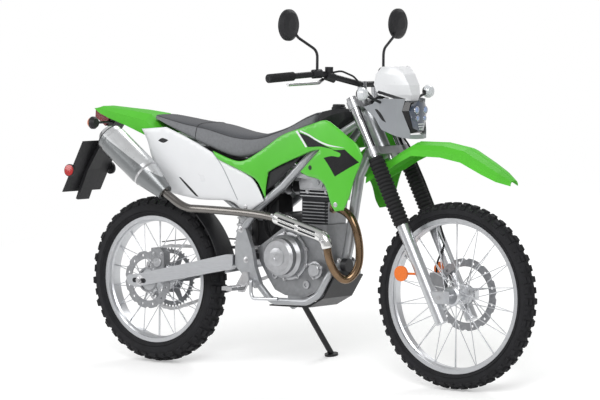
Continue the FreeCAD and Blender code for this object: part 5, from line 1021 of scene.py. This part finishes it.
def muffler_bands():
    """A clamp band round the muffler and a dark ring at its tail cap, each fitted to its girth."""
    way = (MUFFLER_END - MUFFLER_START).normalized()
    across = square_to(way)
    for name, share, width, finish, slot in (("muffler_band", 0.3, 9, STEEL, "steel"),
                                             ("muffler_cap_ring", 0.93, 3, BLACK_METAL, "black_metal")):
        built = Build()
        middle = MUFFLER_START.lerp(MUFFLER_END, share)
        hit = nearest_hit(surfaces_of(nodes["muffler"]), row(*(middle + across * 200)), leaned(*(-across)))
        radius = (upright(hit[0]) - middle).length + 0.2
        section = mirrored([(0, radius - 3), (0, radius + 0.7), (0.7, radius + 1.3)], width)
        lathe(built, middle, way, section, 64, closed=True)
        built.make(name, finish, slot)


# Engine: bolts round the covers and along the joints
FIRST_BOLT = radians(20)


def flange(build, centre, radius, width, y, depth, count, lobe):
    """A raised ring on the right side with a round boss for each bolt."""
    x, z = centre
    ring = [(0, radius - width), (0, radius + 3), (depth - 1, radius + 2), (depth, radius),
            (depth, radius - width)]
    lathe(build, (x, -y, z), RIGHT, ring, 72, closed=True)
    for k in range(count):
        turn = FIRST_BOLT + 2 * pi * k / count
        bx, bz = x + radius * cos(turn), z + radius * sin(turn)
        lathe(build, (bx, -y, bz), RIGHT, [(0, lobe), (depth, lobe), (depth + 1, lobe - 1.2)], 20)
        head = [(0, lobe * 0.62), (4.4, lobe * 0.62), (5, lobe * 0.5)]
        lathe(build, (bx, -(y + depth + 0.6), bz), RIGHT, head, 6, 1)


def engine_details():
    ring = Build()
    flange(ring, (677, 447), 87, 10, 71, 9, 9, 8.5)
    flange(ring, (811, 403), 30, 6, 88, 5, 3, 7)
    lid = [(0, 34), (2.5, 34), (3.5, 32), (3.5, 12), (1.5, 10), (1.5, 0.01)]
    lathe(ring, (677, -147.5, 447), RIGHT, lid, 48)
    for x, z, radius in ((760, 345, 13), (615, 372, 11), (848, 468, 10)):
        boss = [(0, radius + 3), (8, radius + 2), (9, radius), (9, radius * 0.6), (5, radius * 0.5),
                (5, 0.01)]
        lathe(ring, (x, -70, z), RIGHT, boss, 24)
    ring.make("engine_flanges", CAST_LIGHT, "engine_grey", materials=[STEEL])
    bolts = Build()
    trees = surfaces_of(nodes["crankcase"], nodes["engine_covers"])
    for k in range(9):
        turn = radians(20 + 40 * k)
        bolt_on(bolts, trees, 700 + 75 * cos(turn), 430 + 75 * sin(turn), 1, 4.6, 4)
    head = surfaces_of(nodes["cylinder_head"])
    plates = surfaces_of(nodes["main_frame"], nodes["footpegs"], nodes["heat_shield"])
    for trees, sides, radius, height, places in (
            (head, (-1, 1), 6, 5, ((742, 745), (838, 738), (752, 690), (838, 690))),
            (plates, (-1, 1), 8, 6, ((504, 424), (478, 537), (884, 436), (812, 825))),
            (plates, (-1,), 4.5, 3, ((896, 516), (664, 600)))):
        for x, z in places:
            for side in sides:
                bolt_on(bolts, trees, x, z, side, radius, height)
    bolts.make("engine_bolts", STEEL, "steel")


engine_details()


# Behind the cylinder: throttle body and starter motor; behind the shock: the mud flap
def inner_parts():
    body, motor, flap = Build(), Build(), Build()
    barrel = [(0, 31), (4, 31), (5, 27), (30, 27), (31, 33), (36, 33), (37, 25), (70, 25), (71, 32), (76, 32)]
    lathe(body, (575, 12, 700), (1, 0, 0.02), barrel, 36)
    block(body, (622, -34, 708), (46, 40, 52), 0.85)
    block(body, (622, 12, 742), (50, 46, 34), 0.8)
    lathe(body, (622, -52, 704), RIGHT, [(0, 22), (4, 22), (5, 17), (9, 17), (10, 21), (13, 21)], 36)
    body.make("throttle_body", CAST, "cast_dark", bevel=2)
    lathe(motor, (648, -58, 578), LEFT, [(0, 10), (1, 22), (6, 29), (100, 29), (106, 24), (112, 14)], 40)
    block(motor, (660, 0, 555), (50, 90, 34), 0.8)
    motor.make("starter_motor", BLACK_METAL, "black_metal")
    curve = [(-52, -6), (-40, 0), (0, 3), (40, 0), (52, -6)]
    section = [(y, 345 + out) for y, out in curve] + [(y, 341 + out) for y, out in reversed(curve)]
    rings = []
    for k in range(19):
        turn = radians(17 + 33 * k / 18)
        rings.append([(r * cos(turn), y, REAR_AXLE_Z + r * sin(turn)) for y, r in section])
    loft(flap, rings)
    flap.make("rear_mud_flap", BLACK, "black_plastic")


# Lines of the leads in the engine bay, with their radii
LEADS = (
    (4.5, [(596, -52, 690), (560, -62, 640), (548, -60, 570), (560, -56, 520), (600, -60, 490)]),
    (3.2, [(612, -54, 668), (580, -64, 622), (572, -62, 560), (592, -60, 512)]),
    (5.5, [(520, -54, 690), (512, -60, 620), (520, -60, 540), (512, -54, 486)]),
    (4, [(800, -50, 742), (770, -66, 780), (720, -60, 790), (690, -40, 775)]),
)


def engine_bay():
    """The thin cover of the battery tray behind the spars, with wiring, breather hoses and the regulator."""
    skin("inner_cover", INNER_COVER, flat_at(46), BLACK, 3, "black_plastic")
    leads = Build()
    for radius, line in LEADS:
        pipe(leads, curve_through(line, 8), radius, 12)
    leads.make("engine_leads", RUBBER, "rubber")
    box = Build()
    brick(box, (530, -56, 600), FORWARD, (0, 0, 1), RIGHT, (44, 62, 16), 0.9)
    for k in range(5):
        brick(box, (530, -66, 578 + 11 * k), FORWARD, (0, 0, 1), RIGHT, (38, 4, 7), 0.8)
    box.make("regulator", CAST, "cast_dark", bevel=1.5)


# Running gear
def shock_spring():
    """The coil round the shock, between two round seats."""
    built = Build()
    low_end, high_end = Vector((410, 0, 480)), Vector((434, 0, 684))
    u, v, w = axes_of(high_end - low_end)
    turns, steps = 8, 20
    line = []
    for k in range(turns * steps + 1):
        turn = 2 * pi * k / steps
        line.append(low_end.lerp(high_end, k / (turns * steps)) + (u * cos(turn) + v * sin(turn)) * 31)
    pipe(built, line, 5, 10)
    lathe(built, low_end - w * 6, w, [(-4, 38), (2, 38), (2, 20)], 32)
    lathe(built, high_end + w * 6, w, [(-2, 20), (-2, 38), (4, 38)], 32)
    built.make("shock_spring", WHITE, "white")


def axle_nuts(name, body, x, z, half, radius):
    """Nuts and washers on both ends of an axle."""
    built = Build()
    for side in (1, -1):
        way = (0, side, 0)
        washer = [(0, radius * 0.6), (0, radius * 1.35), (2, radius * 1.35), (2.4, radius * 1.25)]
        lathe(built, (x, side * (half - 15), z), way, washer, 28)
        lathe(built, (x, side * (half - 12.5), z), way, [(0, radius), (9, radius), (10, radius * 0.86)], 6)
    built.make(name, STEEL, "steel", body=body)


def span(name):
    """The bike-frame box of a CAD node, in millimetres."""
    places = [upright(nodes[name].matrix_world @ v.co) for v in nodes[name].data.vertices]
    return [min(p[i] for p in places) for i in range(3)], [max(p[i] for p in places) for i in range(3)]


def sprocket():
    """A toothed ring on six arms and a bolted hub ring."""
    least, most = span("rear_sprocket")
    radius = (most[0] - least[0]) / 2
    middle, thick = (least[1] + most[1]) / 2, most[1] - least[1]
    ring = radius - 22
    built = Build()
    hub = Vector((0, middle, REAR_AXLE_Z))
    for half, sides in (([(0, ring), (0, radius - 8), (1, radius - 7)], 90), ([(0, 34), (0, 58)], 60)):
        lathe(built, hub - LEFT * thick / 2, LEFT, mirrored(half, thick), sides, closed=True)
    for radial, along in spokes_at(44):
        brick(built, hub + radial * (radius - 5.6), along, LEFT, radial, (8.5, thick * 0.8, 10.4), 0.5)
    for radial, along in spokes_at(6, 0.5):
        brick(built, hub + radial * (60 + ring) / 2, along, LEFT, radial, (24, thick * 0.98, ring - 52), 0.7)
        lathe(built, hub + LEFT * thick / 2 + radial * 48, LEFT, [(0, 6), (3.5, 6), (4.2, 5)], 6, 1)
    built.make("sprocket_toothed", DARK_STEEL, "steel", "rear_sprocket", "rear_wheel", [STEEL])


def caliper_parts():
    """Four bolts and the piston cap on the outer face of the rear caliper."""
    trees = surfaces_of(nodes["rear_brake"])
    least, most = span("rear_brake")
    built = Build()
    wide, tall = most[0] - least[0], most[2] - least[2]
    for i, j in ((0.2, 0.2), (0.8, 0.2), (0.2, 0.8), (0.8, 0.8)):
        bolt_on(built, trees, least[0] + wide * i, least[2] + tall * j, -1, 4.5, 4)
    x, z = least[0] + wide * 0.5, least[2] + tall * 0.5
    hit = side_hit(trees, x, z, -1)
    if hit:
        cap = [(0, 19), (3, 19), (5, 17), (5, 9), (3.5, 8), (3.5, 0.01)]
        lathe(built, (x, upright(hit[0])[1] + 1, z), RIGHT, cap, 32)
    built.make("rear_caliper_parts", CAST_LIGHT, "engine_grey")


sprocket()
caliper_parts()
# The axle slots in the swingarm are near black sheets: painted shade that stands for the open slots
SLOT = slot_outline((-28, REAR_AXLE_Z), (20, REAR_AXLE_Z), 9, 7)
decal("axle_slots", SLOT, nodes["swingarm"], PAINTED_SHADE, grid=6, step=3)
axle_nuts("rear_axle_nuts", "frame", 0, REAR_AXLE_Z, 133, 14)
axle_nuts("front_axle_nuts", "steering", WHEELBASE, FRONT_AXLE_Z, 115, 11.5)
muffler_bands()
inner_parts()
heat_guard()
engine_bay()
shock_spring()
exhaust()
